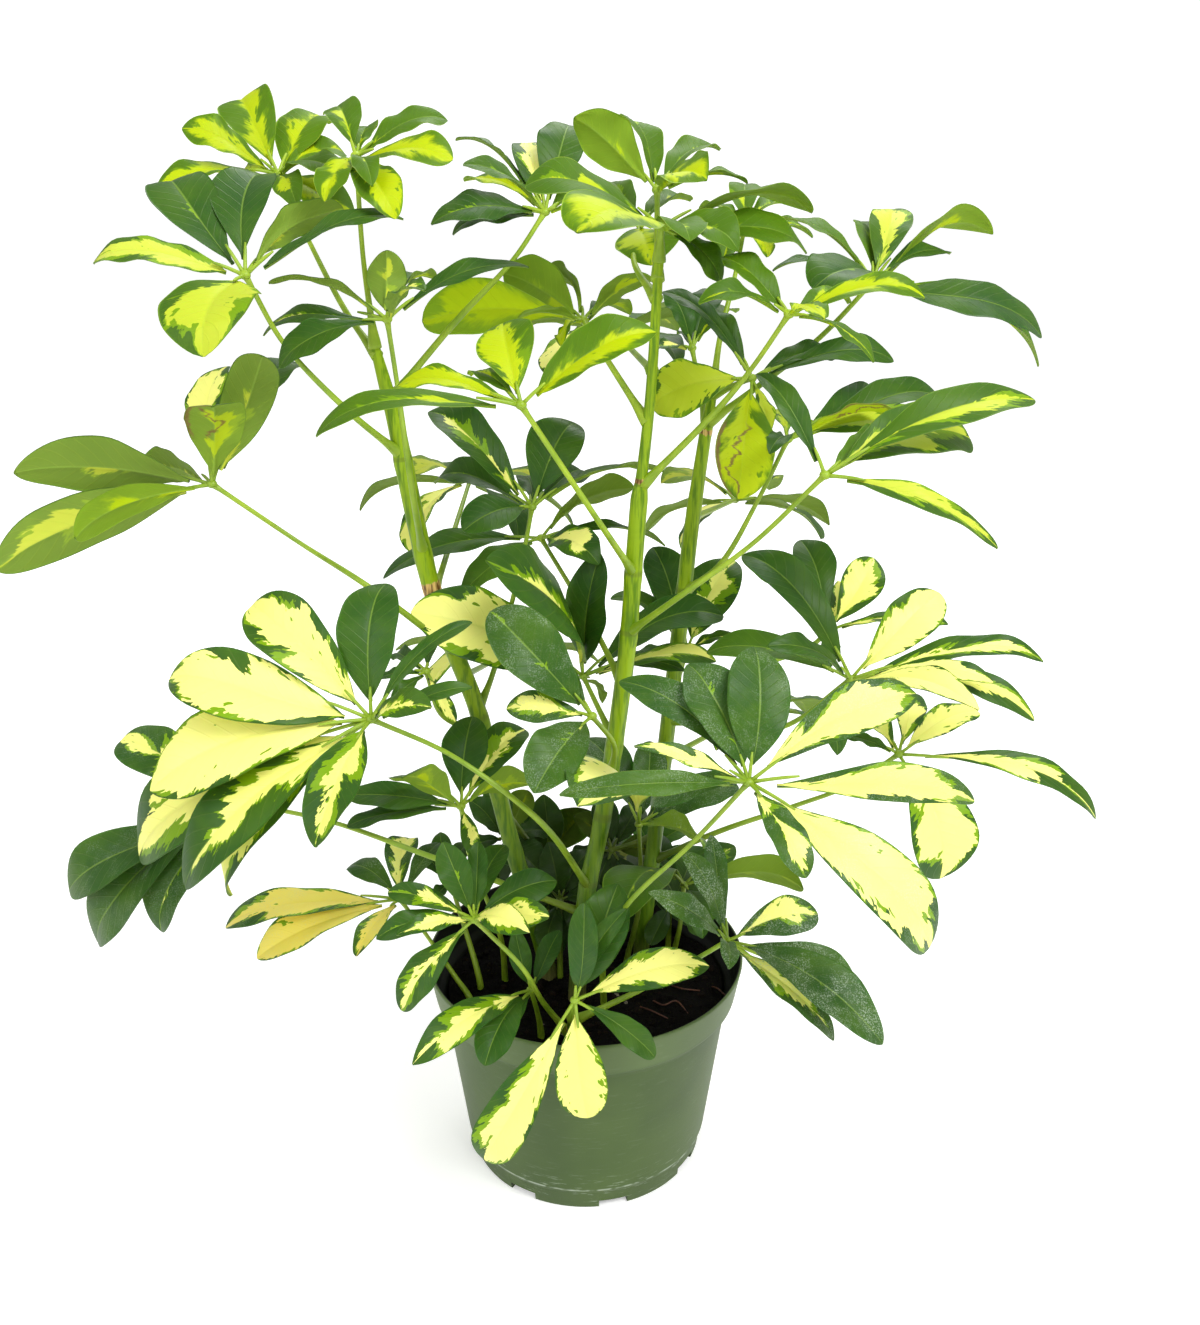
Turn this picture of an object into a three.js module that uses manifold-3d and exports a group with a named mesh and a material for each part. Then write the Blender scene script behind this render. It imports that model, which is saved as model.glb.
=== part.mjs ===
// A variegated umbrella plant in its round nursery pot.
// Millimetres, +Z up. The origin is the middle of the pot's flat underside.
// The plant faces the viewer along -Y, with +X to the viewer's right.

import * as THREE from 'three';
import { mergeVertices } from 'three/addons/utils/BufferGeometryUtils.js';
import Module from 'manifold-3d';

const wasm = await Module();
wasm.setup();

// Driving dimensions of the pot and the soil
const RIM_RADIUS = 82.5;
const POT_HEIGHT = 115;
const WALL = 1.6;
const LIP_HEIGHT = 18.5;
const LIP_LOWER_RADIUS = 79.4;
const SHOULDER_RADIUS = 75;
const SHOULDER_DROP = 5;
const BODY_FOOT_RADIUS = 64.8;
const BODY_FOOT_HEIGHT = 13.2;
const FOOT_RADIUS = 62.2;
const FLOOR_THICKNESS = 2.4;
const NOTCH_COUNT = 8;
const NOTCH_WIDTH = 15;
const NOTCH_HEIGHT = 4.5;
const NOTCH_DEPTH = 7;
const SOIL_LEVEL = 95;
const SOIL_BUMP = 1.6;
const FIT = 0.35;
const HOLE_DEPTH = 9;
const POT_SIDES = 32;

// Driving dimensions of the leaves
const BLADE_THICKNESS = 1.2;
const BLADE_BREADTH = 0.36;
const BLADE_FOLD = 0.14;
const BLADE_ARCH = 0.13;
const BLADE_WAVE = 0.8;
const STALK_RADIUS = 0.8;
const STALK_START = 1.4;
const PETIOLE_RADIUS = 1.25;
const PETIOLE_FOOT_RADIUS = 2;
const HUB_RADIUS = 3;

// Where the viewer's eye is, and how a place in the picture (1200 by 1325) becomes a sight line
const EYE = new THREE.Vector3(7.6, -588, 500);
const PITCH = THREE.MathUtils.degToRad(20.8);
const FOCAL = 1300;
const MIDDLE_X = 600;
const MIDDLE_Y = 662.5;

// The point on the sight line through (x, y) that is `nearer` mm in front of the pot's axis.
function seenAt(x, y, nearer) {
  const right = x - MIDDLE_X;
  const up = MIDDLE_Y - y;
  const line = new THREE.Vector3(
    right,
    FOCAL * Math.cos(PITCH) + up * Math.sin(PITCH),
    up * Math.cos(PITCH) - FOCAL * Math.sin(PITCH),
  );
  return EYE.clone().addScaledVector(line, (-nearer - EYE.y) / line.y);
}

// The small repeatable random numbers that the unseen back and the soil use
let seed = 20;
function chance() {
  seed = (seed * 16807) % 2147483647;
  return seed / 2147483647;
}
function between(low, high) {
  return low + (high - low) * chance();
}

// Stems, foot first: [x, y, nearer, radius]
const STEMS = {
  left: [
    [548, 975, 2, 5.2],
    [505, 820, 5, 5],
    [478, 712, 8, 4.9],
    [450, 640, 9, 4.9],
    [431, 586, 10, 5],
    [405, 470, 10, 4.9],
    [396, 425, 10, 4.4],
    [384, 380, 10, 3.4],
    [374, 344, 10, 2.4],
  ],
  centre: [
    [577, 997, 16, 5.4],
    [586, 895, 18, 5.2],
    [600, 830, 18, 5],
    [615, 740, 19, 4.9],
    [628, 640, 20, 4.8],
    [633, 575, 21, 4.7],
    [639, 500, 22, 4.6],
    [641, 482, 22, 3.1],
    [650, 400, 23, 2.7],
    [660, 242, 25, 2.4],
  ],
  right: [
    [640, 965, -14, 5],
    [652, 860, -16, 4.8],
    [664, 757, -18, 4.7],
    [672, 690, -19, 4.7],
    [684, 590, -20, 4.6],
    [691, 530, -21, 4.3],
    [706, 430, -22, 3.4],
    [714, 385, -24, 2.4],
  ],
  shoot: [
    [571, 1040, 47, 2.9],
    [572, 1022, 60, 2.7],
    [573, 1015, 68, 2.4],
  ],
};

// Leaves. hub is where the leaflets meet: [x, y, nearer]. The petiole runs from `from`, on the named
// stem or in the soil, by way of `via`, to the hub. open says how far the upper side is turned to the
// viewer. A blade is [x, y, nearer than the hub, breadth, turn]: its tip, then, where it differs from
// the usual, how many times the usual breadth it has, and its own turn to the viewer. root is how far
// from the hub's middle its stalks begin, where that isn't STALK_START.
const LEAVES = [
  {
    name: 'leaf_left_top',
    age: 'young',
    hub: [278, 174, -35],
    stem: 'left',
    from: [373, 356],
    via: [[345, 310], [308, 239]],
    root: 1.25,
    open: 0.1,
    blades: [
      [182, 128, 10, 1.1, 0.9], [240, 98, -35, 1.3, 0.9], [327, 116, -40, 1.4, 0.8],
      [345, 150, -22, 1.2, 0.8], [340, 172, 28, 0.9, 0.4], [353, 218, 20, 1.1, 0.9],
      [297, 206, 38, 0.9, 0.6], [154, 196, 22, 0.8, 0.6], [235, 187, -30, 0.8, 0.4],
    ],
  },
  {
    name: 'leaf_left_crown',
    age: 'young',
    hub: [356, 156, 20],
    stem: 'left',
    from: [375, 348],
    via: [[370, 310], [363, 256]],
    root: 1.25,
    open: 0.15,
    blades: [
      [337, 106, -28, 1.2, 0.8], [372, 129, -32, 0.8, 0.2], [447, 118, -15, 1, 0.4],
      [453, 159, 15, 1, 0.6], [395, 214, 32, 1.1, 0.8], [372, 184, 30, 0.8],
      [324, 197, 25, 1.4, 0.9],
    ],
  },
  {
    name: 'leaf_left_wide',
    age: 'mature',
    hub: [245, 275, 55],
    stem: 'left',
    from: [400, 459],
    via: [[346, 409], [285, 345]],
    open: 0.1,
    blades: [
      [92, 258, 5, 0.85, 0.6], [168, 178, -38, 1.15, 0.5], [263, 170, -45, 1.15, 0.5],
      [343, 208, -35, 0.8, -1.3], [403, 217, -12, 0.5, 0.3], [200, 345, 42, 2.3, 0.8],
    ],
  },
  {
    name: 'leaf_left_middle',
    age: 'mature',
    hub: [387, 319, 32],
    stem: 'left',
    from: [426, 552],
    via: [[412, 489], [397, 383]],
    open: 0.1,
    blades: [
      [387, 250, -20, 1.5, -2.2], [269, 281, 5, 0.5, -0.6], [278, 363, 18, 0.9, 0.2],
      [263, 335, -12, 0.6], [435, 275, -40, 0.8, -0.8], [425, 290, 30, 0.8],
      [529, 267, -15, 0.5, 0.3],
    ],
  },
  {
    name: 'leaf_left_low',
    age: 'mature',
    hub: [212, 484, 35],
    stem: 'left',
    from: [455, 652],
    via: [[369, 587], [300, 543]],
    root: 1.25,
    open: -0.35,
    blades: [
      [16, 470, 5, 0.8, -1.5], [-4, 566, 18, 0.7, -1.4], [73, 537, 38, 0.75, -1.1],
      [137, 472, -35, 0.9, -1], [212, 403, 30, 1.3, -0.8], [263, 354, 5, 0.9, -1.1],
      [224, 364, -28, 0.9, 0.4], [300, 360, -38, 0.9, 0.6],
    ],
  },
  {
    name: 'leaf_front_left',
    age: 'mature',
    hub: [371, 719, 105],
    stem: 'centre',
    from: [586, 886],
    via: [[533, 815], [456, 758]],
    open: 0.6,
    blades: [
      [150, 790, 12, 1.05], [139, 856, -15, 0.75], [182, 887, 28, 0.85], [225, 895, -8, 0.6],
      [314, 846, 42, 1.1], [167, 675, -8, 0.95], [250, 603, -30], [384, 581, -34, 1.15],
      [471, 621, -22, 0.4], [471, 686, 5, 0.5], [431, 707, 26, 0.9],
    ],
  },
  {
    name: 'leaf_low_left',
    age: 'mature',
    hub: [238, 802, 58],
    stem: 'centre',
    from: [583, 914],
    via: [[418, 852], [332, 822]],
    open: 0.5,
    blades: [
      [69, 890, 2, 0.8], [91, 941, 14, 0.85], [159, 931, 30, 0.9], [122, 739, -25],
      [215, 720, -45, 0.9], [300, 745, -25, 0.7],
    ],
  },
  {
    name: 'leaf_low_left_back',
    age: 'mature',
    hub: [400, 899, -2],
    stem: 'soil',
    from: [470, 1002],
    via: [[456, 978], [430, 940]],
    open: 0.45,
    blades: [
      [224, 924, 5, 0.65], [257, 958, 22, 0.7], [356, 956, 38, 0.8], [349, 865, -28, 0.9],
      [412, 836, -42], [439, 842, -25, 0.8],
    ],
  },
  {
    name: 'leaf_front_round',
    age: 'mature',
    hub: [474, 919, 92],
    stem: 'shoot',
    from: [572, 1036],
    via: [[545, 1005], [520, 965]],
    open: 0.8,
    blades: [
      [443, 842, -8], [478, 842, -12, 0.8], [505, 845, -28], [556, 880, -4, 1.1],
      [549, 917, 10, 1.1], [528, 931, 22, 0.9], [388, 892, -2, 0.7], [376, 938, 8, 0.7],
      [397, 934, 26, 0.6], [400, 1010, 14, 0.8],
    ],
  },
  {
    name: 'leaf_front_low',
    age: 'mature',
    hub: [531, 990, 66],
    stem: 'soil',
    from: [541, 1036],
    via: [[538, 1015]],
    root: 1.6,
    open: 0.6,
    blades: [
      [413, 1063, 42, 0.6], [485, 1064, 38], [515, 930, -15, 0.9], [560, 930, -25, 0.9],
      [505, 1036, 22, 0.6],
    ],
  },
  {
    name: 'leaf_front_hanging',
    age: 'mature',
    hub: [575, 1000, 82],
    stem: 'shoot',
    from: [573, 1018],
    via: [],
    open: 0.6,
    blades: [
      [483, 1163, 22, 0.7, 0.3], [588, 1118, 22, 1.15, 0.5], [584, 905, -10, 0.75],
      [618, 884, -28, 1.1], [626, 909, -8, 0.5], [655, 1057, 16, 0.7], [709, 966, -12, 0.75],
    ],
  },
  {
    name: 'leaf_front_right',
    age: 'mature',
    hub: [727, 941, 82],
    stem: 'shoot',
    from: [573, 1022],
    via: [[650, 985]],
    open: 0.7,
    blades: [
      [685, 852, -14, 0.7], [711, 835, -24, 0.6], [649, 892, 4, 0.6], [730, 966, 26, 0.8],
      [818, 914, -6, 1.1], [860, 990, 8, 0.75], [883, 1044, 24, 0.8], [835, 1039, 32, 0.6],
    ],
  },
  {
    name: 'leaf_front_big_right',
    age: 'mature',
    hub: [749, 782, 118],
    stem: 'soil',
    from: [604, 1012],
    via: [[604, 960], [627, 905], [690, 845]],
    root: 1.5,
    open: 0.6,
    blades: [
      [756, 645, -34, 1.3], [690, 662, -28, 1.25], [620, 680, -18, 0.6], [635, 745, 4, 0.4],
      [560, 793, 18, 0.4], [916, 692, -14, 0.72], [976, 798, 2, 0.5], [934, 946, 30, 0.85],
      [806, 878, 36, 0.85], [648, 800, -26, 0.7, 0.3],
    ],
  },
  {
    name: 'leaf_right_high',
    age: 'mature',
    hub: [851, 679, 45],
    stem: 'right',
    from: [667, 720],
    via: [[775, 729]],
    root: 1.3,
    open: 0.4,
    blades: [
      [746, 552, -32, 0.8], [940, 593, -30], [1044, 659, 2, 0.4], [993, 681, 24, 0.5],
      [1035, 719, 16, 0.45], [979, 708, 40, 0.6], [769, 645, 22, 0.6], [707, 649, -14, 0.7],
    ],
  },
  {
    name: 'leaf_right_low',
    age: 'mature',
    hub: [899, 754, 35],
    stem: 'right',
    from: [654, 858],
    via: [[720, 831], [797, 805], [848, 786]],
    open: 0.5,
    blades: [
      [1098, 816, 5, 0.38], [942, 878, 34, 1.6], [979, 712, -28, 0.8], [868, 716, -35, 0.8],
      [905, 690, -45, 0.9], [838, 735, -14, 0.6],
    ],
  },
  {
    name: 'leaf_right_top',
    age: 'mature',
    hub: [873, 282, -25],
    stem: 'right',
    from: [706, 424],
    via: [[816, 341]],
    root: 1.25,
    open: 0,
    blades: [
      [818, 280, 42, 1.6, 0.6], [773, 268, 12, 0.85], [780, 217, -28, 0.8], [856, 222, -42, 0.8],
      [893, 209, -46], [950, 253, -32, 0.8], [990, 229, -42, 0.65, -0.8], [1042, 337, 5, 0.9, 0.7],
      [1041, 363, -18, 0.8, 0.3],
    ],
  },
  {
    name: 'leaf_right_bright',
    age: 'young',
    hub: [789, 314, 50],
    stem: 'centre',
    from: [642, 488],
    via: [[718, 409], [752, 368]],
    open: 0.15,
    blades: [
      [722, 257, -18, 1.2, 0.5], [700, 300, 18, 0.8, 0.3], [849, 301, -24, 0.9, 0.3],
      [925, 296, -2, 0.6, 0.5], [875, 359, 26, 0.6], [824, 318, 32],
    ],
  },
  {
    name: 'leaf_crown',
    age: 'young',
    hub: [661, 227, 28],
    stem: 'centre',
    from: [660, 246],
    via: [],
    open: 0.1,
    blades: [
      [527, 180, 16, 1, 0.3], [577, 232, 34, 1.8, 1.1], [690, 241, 34, 1.5, 0.6],
      [738, 245, 28, 1.5, 0.6], [722, 282, 8, 1.2, 0.6], [808, 250, 2, 1.1, 0.5],
      [812, 208, -16, 1.2, -0.6],
    ],
  },
  {
    name: 'leaf_crown_upper',
    age: 'young',
    hub: [657, 190, 10],
    stem: 'centre',
    from: [658, 290],
    via: [],
    open: 0.2,
    blades: [
      [575, 116, -20, 1.3, -1.2], [622, 118, -34, 1.2, -0.6], [706, 176, 22, 1.8, 0.8],
      [719, 147, -34, 0.9], [748, 181, -8, 0.8],
    ],
  },
  {
    name: 'leaf_crown_behind',
    age: 'young',
    hub: [640, 224, -22],
    stem: 'centre',
    from: [655, 304],
    via: [[634, 262]],
    root: 1.25,
    open: 0.2,
    blades: [
      [652, 262, 20, 2.6, 1.2], [584, 196, -30, 1.1], [606, 182, -38, 1.1], [690, 200, -34, 1.1],
      [565, 214, 2, 0.9],
    ],
  },
  {
    name: 'leaf_top_middle',
    age: 'mature',
    hub: [545, 212, -10],
    stem: 'left',
    from: [396, 400],
    via: [[457, 320], [513, 260]],
    open: 0,
    blades: [
      [457, 137, -24, 0.4], [464, 163, 14, 0.8, 0.5], [464, 180, -20, 0.9, 0.5],
      [431, 222, 18, 1, 1], [452, 233, 4, 0.9, 1], [527, 141, -32, 1.1, 0.5],
      [569, 123, -36, 1.1, 0.4], [606, 196, -28, 1, 0.3], [594, 214, 16, 0.8],
    ],
  },
  {
    name: 'leaf_back_top',
    age: 'young',
    hub: [745, 225, -78],
    stem: 'right',
    from: [713, 390],
    via: [[720, 338], [736, 271]],
    open: 0,
    blades: [
      [813, 237, 12, 1, 0.4], [768, 254, 28, 1, 0.4], [722, 268, 22], [700, 205, -18],
      [745, 185, -38], [795, 205, -28],
    ],
  },
  {
    name: 'leaf_middle_bright',
    age: 'young',
    hub: [521, 405, 85],
    stem: 'centre',
    from: [633, 573],
    via: [[597, 519]],
    open: 0.15,
    blades: [
      [315, 434, 10, 0.6, 0.3], [392, 390, -22, 0.6, 0.3], [503, 323, -32, 1.5, 0.9],
      [656, 332, -4, 1, 0.8], [470, 372, -28, 0.7, 0.4],
    ],
  },
  {
    name: 'leaf_middle_back',
    age: 'young',
    hub: [583, 320, -18],
    stem: 'centre',
    from: [648, 426],
    via: [[601, 350]],
    open: -0.3,
    blades: [
      [422, 321, 6, 1, -0.9], [508, 272, -24, 1.6, -0.9], [549, 268, -34, 0.9, -0.5],
      [509, 326, 30, 0.7], [651, 277, -18, 0.9, -0.5], [560, 345, 28, 0.6], [630, 312, -36, 0.8],
    ],
  },
  {
    name: 'leaf_centre_dark',
    age: 'mature',
    hub: [532, 507, -8],
    stem: 'left',
    from: [481, 715],
    via: [[492, 676], [525, 546]],
    open: 0.25,
    blades: [
      [430, 408, -18, 0.95, 0.4], [575, 420, -22, 1.5, 0.4], [434, 479, -28, 0.8, 0.3],
      [463, 531, 32, 1.3, 0.7], [522, 477, -36, 0.8], [584, 469, -28, 1, 0.2],
      [664, 471, -22, 0.9, -0.6],
    ],
  },
  {
    name: 'leaf_centre_low',
    age: 'mature',
    hub: [541, 538, -28],
    stem: 'centre',
    from: [622, 688],
    via: [[590, 620]],
    open: 0.2,
    blades: [
      [634, 487, -24, 1.1, -0.9], [665, 545, -20, 0.5], [597, 560, 26, 1.4, 0.8],
      [461, 594, 26, 0.9, 0.4], [383, 578, 4, 0.7, 0.4],
    ],
  },
  {
    name: 'leaf_centre_broad',
    age: 'mature',
    hub: [583, 676, 0],
    stem: 'centre',
    from: [616, 737],
    via: [],
    open: 0.6,
    blades: [
      [486, 560, 26, 1.15, 0.3], [600, 553, -18], [721, 612, -30, 0.9], [716, 660, -22, 0.5],
      [686, 671, -14, 0.5], [603, 702, -30, 0.6], [411, 612, 4, 1.15, 0.8],
    ],
  },
  {
    name: 'leaf_centre_front',
    age: 'mature',
    hub: [592, 716, 58],
    stem: 'centre',
    from: [617, 775],
    via: [[614, 746]],
    open: 0.6,
    blades: [
      [491, 611, -4, 1.15, 0.4], [507, 707, 8, 1, 0.4], [534, 793, 26, 1.3, 0.4],
      [560, 664, -30, 0.6],
    ],
  },
  {
    name: 'leaf_inner_left',
    age: 'mature',
    hub: [461, 806, 42],
    stem: 'soil',
    from: [505, 980],
    via: [[500, 935], [469, 854]],
    open: 0.35,
    blades: [
      [472, 716, -25, 1.4, 0.5], [524, 727, -28, 1.1, 0.5], [532, 782, -10, 1.5, -1.8],
      [402, 777, 20, 1.5, -1.9], [345, 795, -6, 0.75, 0.3], [347, 826, 4, 0.5],
      [474, 858, 22, 0.8, 0.5],
    ],
  },
  {
    name: 'leaf_inner_right',
    age: 'mature',
    hub: [639, 824, 8],
    stem: 'soil',
    from: [625, 972],
    via: [[640, 900]],
    root: 1.25,
    open: 0.3,
    blades: [
      [650, 741, -30, 1.1, 0.5], [587, 738, -34, 1.1, 0.5], [738, 785, -4, 1.1, 0.6],
      [706, 846, 28, 1.3, -1.9], [690, 800, -26, 0.9, 0.4], [580, 800, 20, 0.8, 0.4],
    ],
  },
  {
    name: 'leaf_inner_far_left',
    age: 'mature',
    hub: [426, 671, 30],
    stem: 'left',
    from: [482, 738],
    via: [[443, 716]],
    open: 0.5,
    blades: [
      [455, 722, 12, 0.7, 0.3], [396, 652, -25, 0.9, 0.3], [392, 702, 18, 0.8],
      [440, 628, -25, 0.9, 0.3], [378, 678, -5, 0.7],
    ],
  },
  {
    name: 'leaf_right_inner',
    age: 'mature',
    hub: [752, 378, 0],
    stem: 'right',
    from: [713, 394],
    via: [],
    root: 1.3,
    open: 0.25,
    blades: [
      [738, 499, 32, 1.3, 0.9], [652, 402, 4, 1.5, 0.8], [705, 312, -30, 0.7], [834, 355, -15, 0.9],
      [894, 359, -10, 0.6], [766, 437, 10, 0.8], [661, 291, -36, 0.5, 0.4],
    ],
  },
  {
    name: 'leaf_behind_stem',
    age: 'mature',
    hub: [692, 348, -55],
    stem: 'right',
    from: [706, 428],
    via: [],
    open: 0.2,
    blades: [
      [665, 291, -12, 1.1, 0.5], [690, 337, -35], [735, 308, -24], [650, 352, 8], [715, 290, -34],
    ],
  },
  {
    name: 'leaf_right_middle',
    age: 'mature',
    hub: [788, 439, 12],
    stem: 'right',
    from: [685, 590],
    via: [[722, 562], [758, 500]],
    open: 0.1,
    blades: [
      [905, 418, 22, 1.1, -0.5], [940, 398, -24, 0.7], [937, 437, 8, 0.9, 0.4], [768, 412, -34, 0.9],
      [889, 402, -28, 0.9], [770, 450, 28, 0.8],
    ],
  },
  {
    name: 'leaf_right_long',
    age: 'mature',
    hub: [825, 475, 78],
    stem: 'centre',
    from: [629, 632],
    via: [[676, 599], [751, 545]],
    open: 0.25,
    blades: [
      [1035, 400, -14, 0.6, 0.3], [998, 548, 20, 0.5, 0.4], [970, 438, -34, 1, 0.4],
      [892, 443, -28, 0.8, -0.4], [757, 373, -28, 0.6, 0.3],
    ],
  },
  {
    name: 'leaf_right_shoulder',
    age: 'mature',
    hub: [828, 631, -12],
    stem: 'right',
    from: [673, 688],
    via: [[809, 647]],
    open: 0.35,
    blades: [
      [744, 553, -18, 0.8, 0.3], [800, 540, -34, 1, 0.4], [874, 557, -22, 1.2, 0.5],
      [850, 590, -40, 0.9], [948, 622, 12, 0.5], [826, 668, 30, 0.8],
    ],
  },
  {
    name: 'leaf_right_back',
    age: 'mature',
    hub: [687, 650, -48],
    stem: 'right',
    from: [670, 708],
    via: [],
    open: 0.5,
    blades: [
      [734, 561, -8, 1.4, 0.5], [653, 547, -18, 1.1, 0.3], [736, 637, 5, 0.8, 0.3],
      [613, 596, 8, 0.8], [625, 660, 14, 0.7],
    ],
  },
  {
    name: 'leaf_low_right_back',
    age: 'mature',
    hub: [684, 885, 0],
    stem: 'soil',
    from: [672, 965],
    via: [[680, 925]],
    open: 0.3,
    blades: [
      [804, 886, 8, 0.9, -1.7], [703, 935, 30, 0.9], [622, 912, 12, 0.8, -0.6],
      [650, 834, -36, 0.9, 0.4], [735, 846, -30, 1.1, 0.4],
    ],
  },
  {
    name: 'leaf_rear_low_left',
    age: 'mature',
    hub: [545, 862, -42],
    stem: 'left',
    from: [500, 800],
    via: [],
    root: 1.3,
    open: 0.6,
    blades: [
      [507, 840, -8, 1.5], [509, 810, -20, 1.4], [544, 796, -25, 1.3], [590, 808, -12, 1.5, -2],
      [592, 884, 18, 1.6], [558, 955, 30, 0.9], [512, 915, 14, 1.4],
    ],
  },
  {
    name: 'leaf_rear_low_right',
    age: 'mature',
    hub: [652, 850, -54],
    stem: 'right',
    from: [659, 800],
    via: [],
    open: 0.55,
    blades: [
      [606, 842, -14, 1.3], [632, 812, -28, 1.3], [690, 826, -22, 1.3], [716, 872, -6, 1.1],
      [690, 925, 20, 1.2], [628, 925, 24, 1.3], [604, 880, 14, 1, 0.3],
    ],
  },
];

// Leaves of the side that the viewer can't see, grown by one rule: [name, hub, stem, from]
const BACK_LEAVES = [
  ['leaf_rear_high_left', [470, 480, -105], 'left', [433, 596]],
  ['leaf_rear_high_right', [735, 500, -115], 'right', [694, 515]],
  ['leaf_rear_crown', [612, 330, -120], 'centre', [652, 372]],
  ['leaf_rear_middle_left', [505, 655, -110], 'left', [462, 672]],
  ['leaf_rear_middle_right', [765, 705, -118], 'right', [664, 757]],
];
const BACK_REACH = 62;
const BACK_COUNT = 6;

const COLOURS = {
  pot: new THREE.MeshStandardMaterial({ color: '#5f7d52', roughness: 0.55, metalness: 0 }),
  soil: new THREE.MeshStandardMaterial({ color: '#1c1613', roughness: 0.95, metalness: 0 }),
  stem: new THREE.MeshStandardMaterial({ color: '#6f9a2a', roughness: 0.5, metalness: 0 }),
  mature: new THREE.MeshStandardMaterial({ color: '#3f6f2e', roughness: 0.42, metalness: 0 }),
  young: new THREE.MeshStandardMaterial({ color: '#7fb52b', roughness: 0.45, metalness: 0 }),
};

// The point of the soil's level that the viewer sees at (x, y)
function onSoil(x, y) {
  const line = seenAt(x, y, 0).sub(EYE);
  return EYE.clone().addScaledVector(line, (SOIL_LEVEL - EYE.z) / line.z);
}

// Where a point is seen: the inverse of seenAt
function pictureOf(point) {
  const { x, y, z } = point.clone().sub(EYE);
  const ahead = y * Math.cos(PITCH) - z * Math.sin(PITCH);
  const above = y * Math.sin(PITCH) + z * Math.cos(PITCH);
  return [MIDDLE_X + (FOCAL * x) / ahead, MIDDLE_Y - (FOCAL * above) / ahead, -point.y];
}

const TO_VIEWER = new THREE.Vector3(0, -Math.cos(PITCH), Math.sin(PITCH));
const UPWARD = new THREE.Vector3(0, 0, 1);

// Solids: three.js makes each form, and manifold-3d joins or cuts it
function solidOf(geometry) {
  const bare = new THREE.BufferGeometry().setAttribute('position', geometry.getAttribute('position'));
  if (geometry.index) bare.setIndex(geometry.index);
  const merged = mergeVertices(bare, 1e-4);
  return new wasm.Manifold(
    new wasm.Mesh({
      numProp: 3,
      vertProperties: merged.attributes.position.array,
      triVerts: new Uint32Array(merged.index.array),
    }),
  );
}

function solidFrom(points, faces) {
  const flat = points.flatMap((p) => [p.x, p.y, p.z]);
  const geometry = new THREE.BufferGeometry();
  geometry.setAttribute('position', new THREE.Float32BufferAttribute(flat, 3));
  geometry.setIndex(faces.flat());
  return solidOf(geometry);
}

// A smooth course through points, each with its radius, given at count + 1 even steps
function course(points, radii, count) {
  const curve = new THREE.CatmullRomCurve3(points, false, 'centripetal');
  const steps = Array.from({ length: count + 1 }, (_, i) => i / count);
  return steps.map((u) => {
    const place = u * (points.length - 1);
    const before = Math.min(Math.floor(place), points.length - 2);
    const radius = THREE.MathUtils.lerp(radii[before], radii[before + 1], place - before);
    return { point: curve.getPoint(u), radius };
  });
}

// A closed round bar along a course, thicker by `extra`
function bar(rings, sides, extra = 0) {
  const points = [];
  const faces = [];
  let side = new THREE.Vector3(1, 0.1, 0);
  rings.forEach(({ point, radius }, i) => {
    const before = rings[Math.max(i - 1, 0)].point;
    const after = rings[Math.min(i + 1, rings.length - 1)].point;
    const along = after.clone().sub(before).normalize();
    const centre = point.clone();
    if (i === 0) centre.addScaledVector(along, -extra);
    if (i === rings.length - 1) centre.addScaledVector(along, extra);
    side = side.clone().addScaledVector(along, -side.dot(along)).normalize();
    const across = along.clone().cross(side);
    for (let k = 0; k < sides; k++) {
      const turn = (2 * Math.PI * k) / sides;
      const out = side.clone().multiplyScalar(Math.cos(turn)).addScaledVector(across, Math.sin(turn));
      points.push(centre.clone().addScaledVector(out, radius + extra));
    }
  });
  const last = (rings.length - 1) * sides;
  for (let row = 0; row < last; row += sides) {
    for (let k = 0; k < sides; k++) {
      const next = (k + 1) % sides;
      faces.push([row + k, row + next, row + sides + next]);
      faces.push([row + k, row + sides + next, row + sides + k]);
    }
  }
  for (let k = 1; k < sides - 1; k++) {
    faces.push([0, k + 1, k]);
    faces.push([last, last + k, last + k + 1]);
  }
  return solidFrom(points, faces);
}

// Stems: a straight foot in its hole in the soil, then the course that the viewer sees
function growStem(rows) {
  const foot = onSoil(rows[0][0], rows[0][1]);
  const points = [foot.clone().setZ(SOIL_LEVEL - HOLE_DEPTH), foot.clone().setZ(SOIL_LEVEL + 2)];
  const radii = [rows[0][3], rows[0][3]];
  for (const [x, y, nearer, radius] of rows.slice(1)) {
    points.push(seenAt(x, y, nearer));
    radii.push(radius);
  }
  return course(points, radii, 2 * points.length);
}

const stems = new Map(Object.entries(STEMS).map(([name, rows]) => [name, growStem(rows)]));

// The point in the middle of a stem that is seen nearest to (x, y)
function onStem(name, x, y) {
  let nearest = null;
  let least = Infinity;
  const rings = stems.get(name);
  for (let i = 0; i < rings.length - 1; i++) {
    for (let part = 0; part < 1; part += 0.25) {
      const point = rings[i].point.clone().lerp(rings[i + 1].point, part);
      const seen = pictureOf(point);
      const away = Math.hypot(seen[0] - x, seen[1] - y);
      if (away < least) {
        least = away;
        nearest = point;
      }
    }
  }
  return nearest;
}

// Knobs are the depths that may be eased: hubs, tips and the bends of petioles
const HUB_EASE = 0.3;
const EASE_ROUNDS = 90;
const EASE_GAP = 3.4;
const EASE_SAME = 1.8;
const EASE_FREE = 0.4;
const EASE_REACH = 9;
const EASE_STEP = 3;

function knob(x, y, nearer, ease) {
  return { x, y, nearer, ease };
}

function place(k) {
  return seenAt(k.x, k.y, k.nearer);
}

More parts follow.
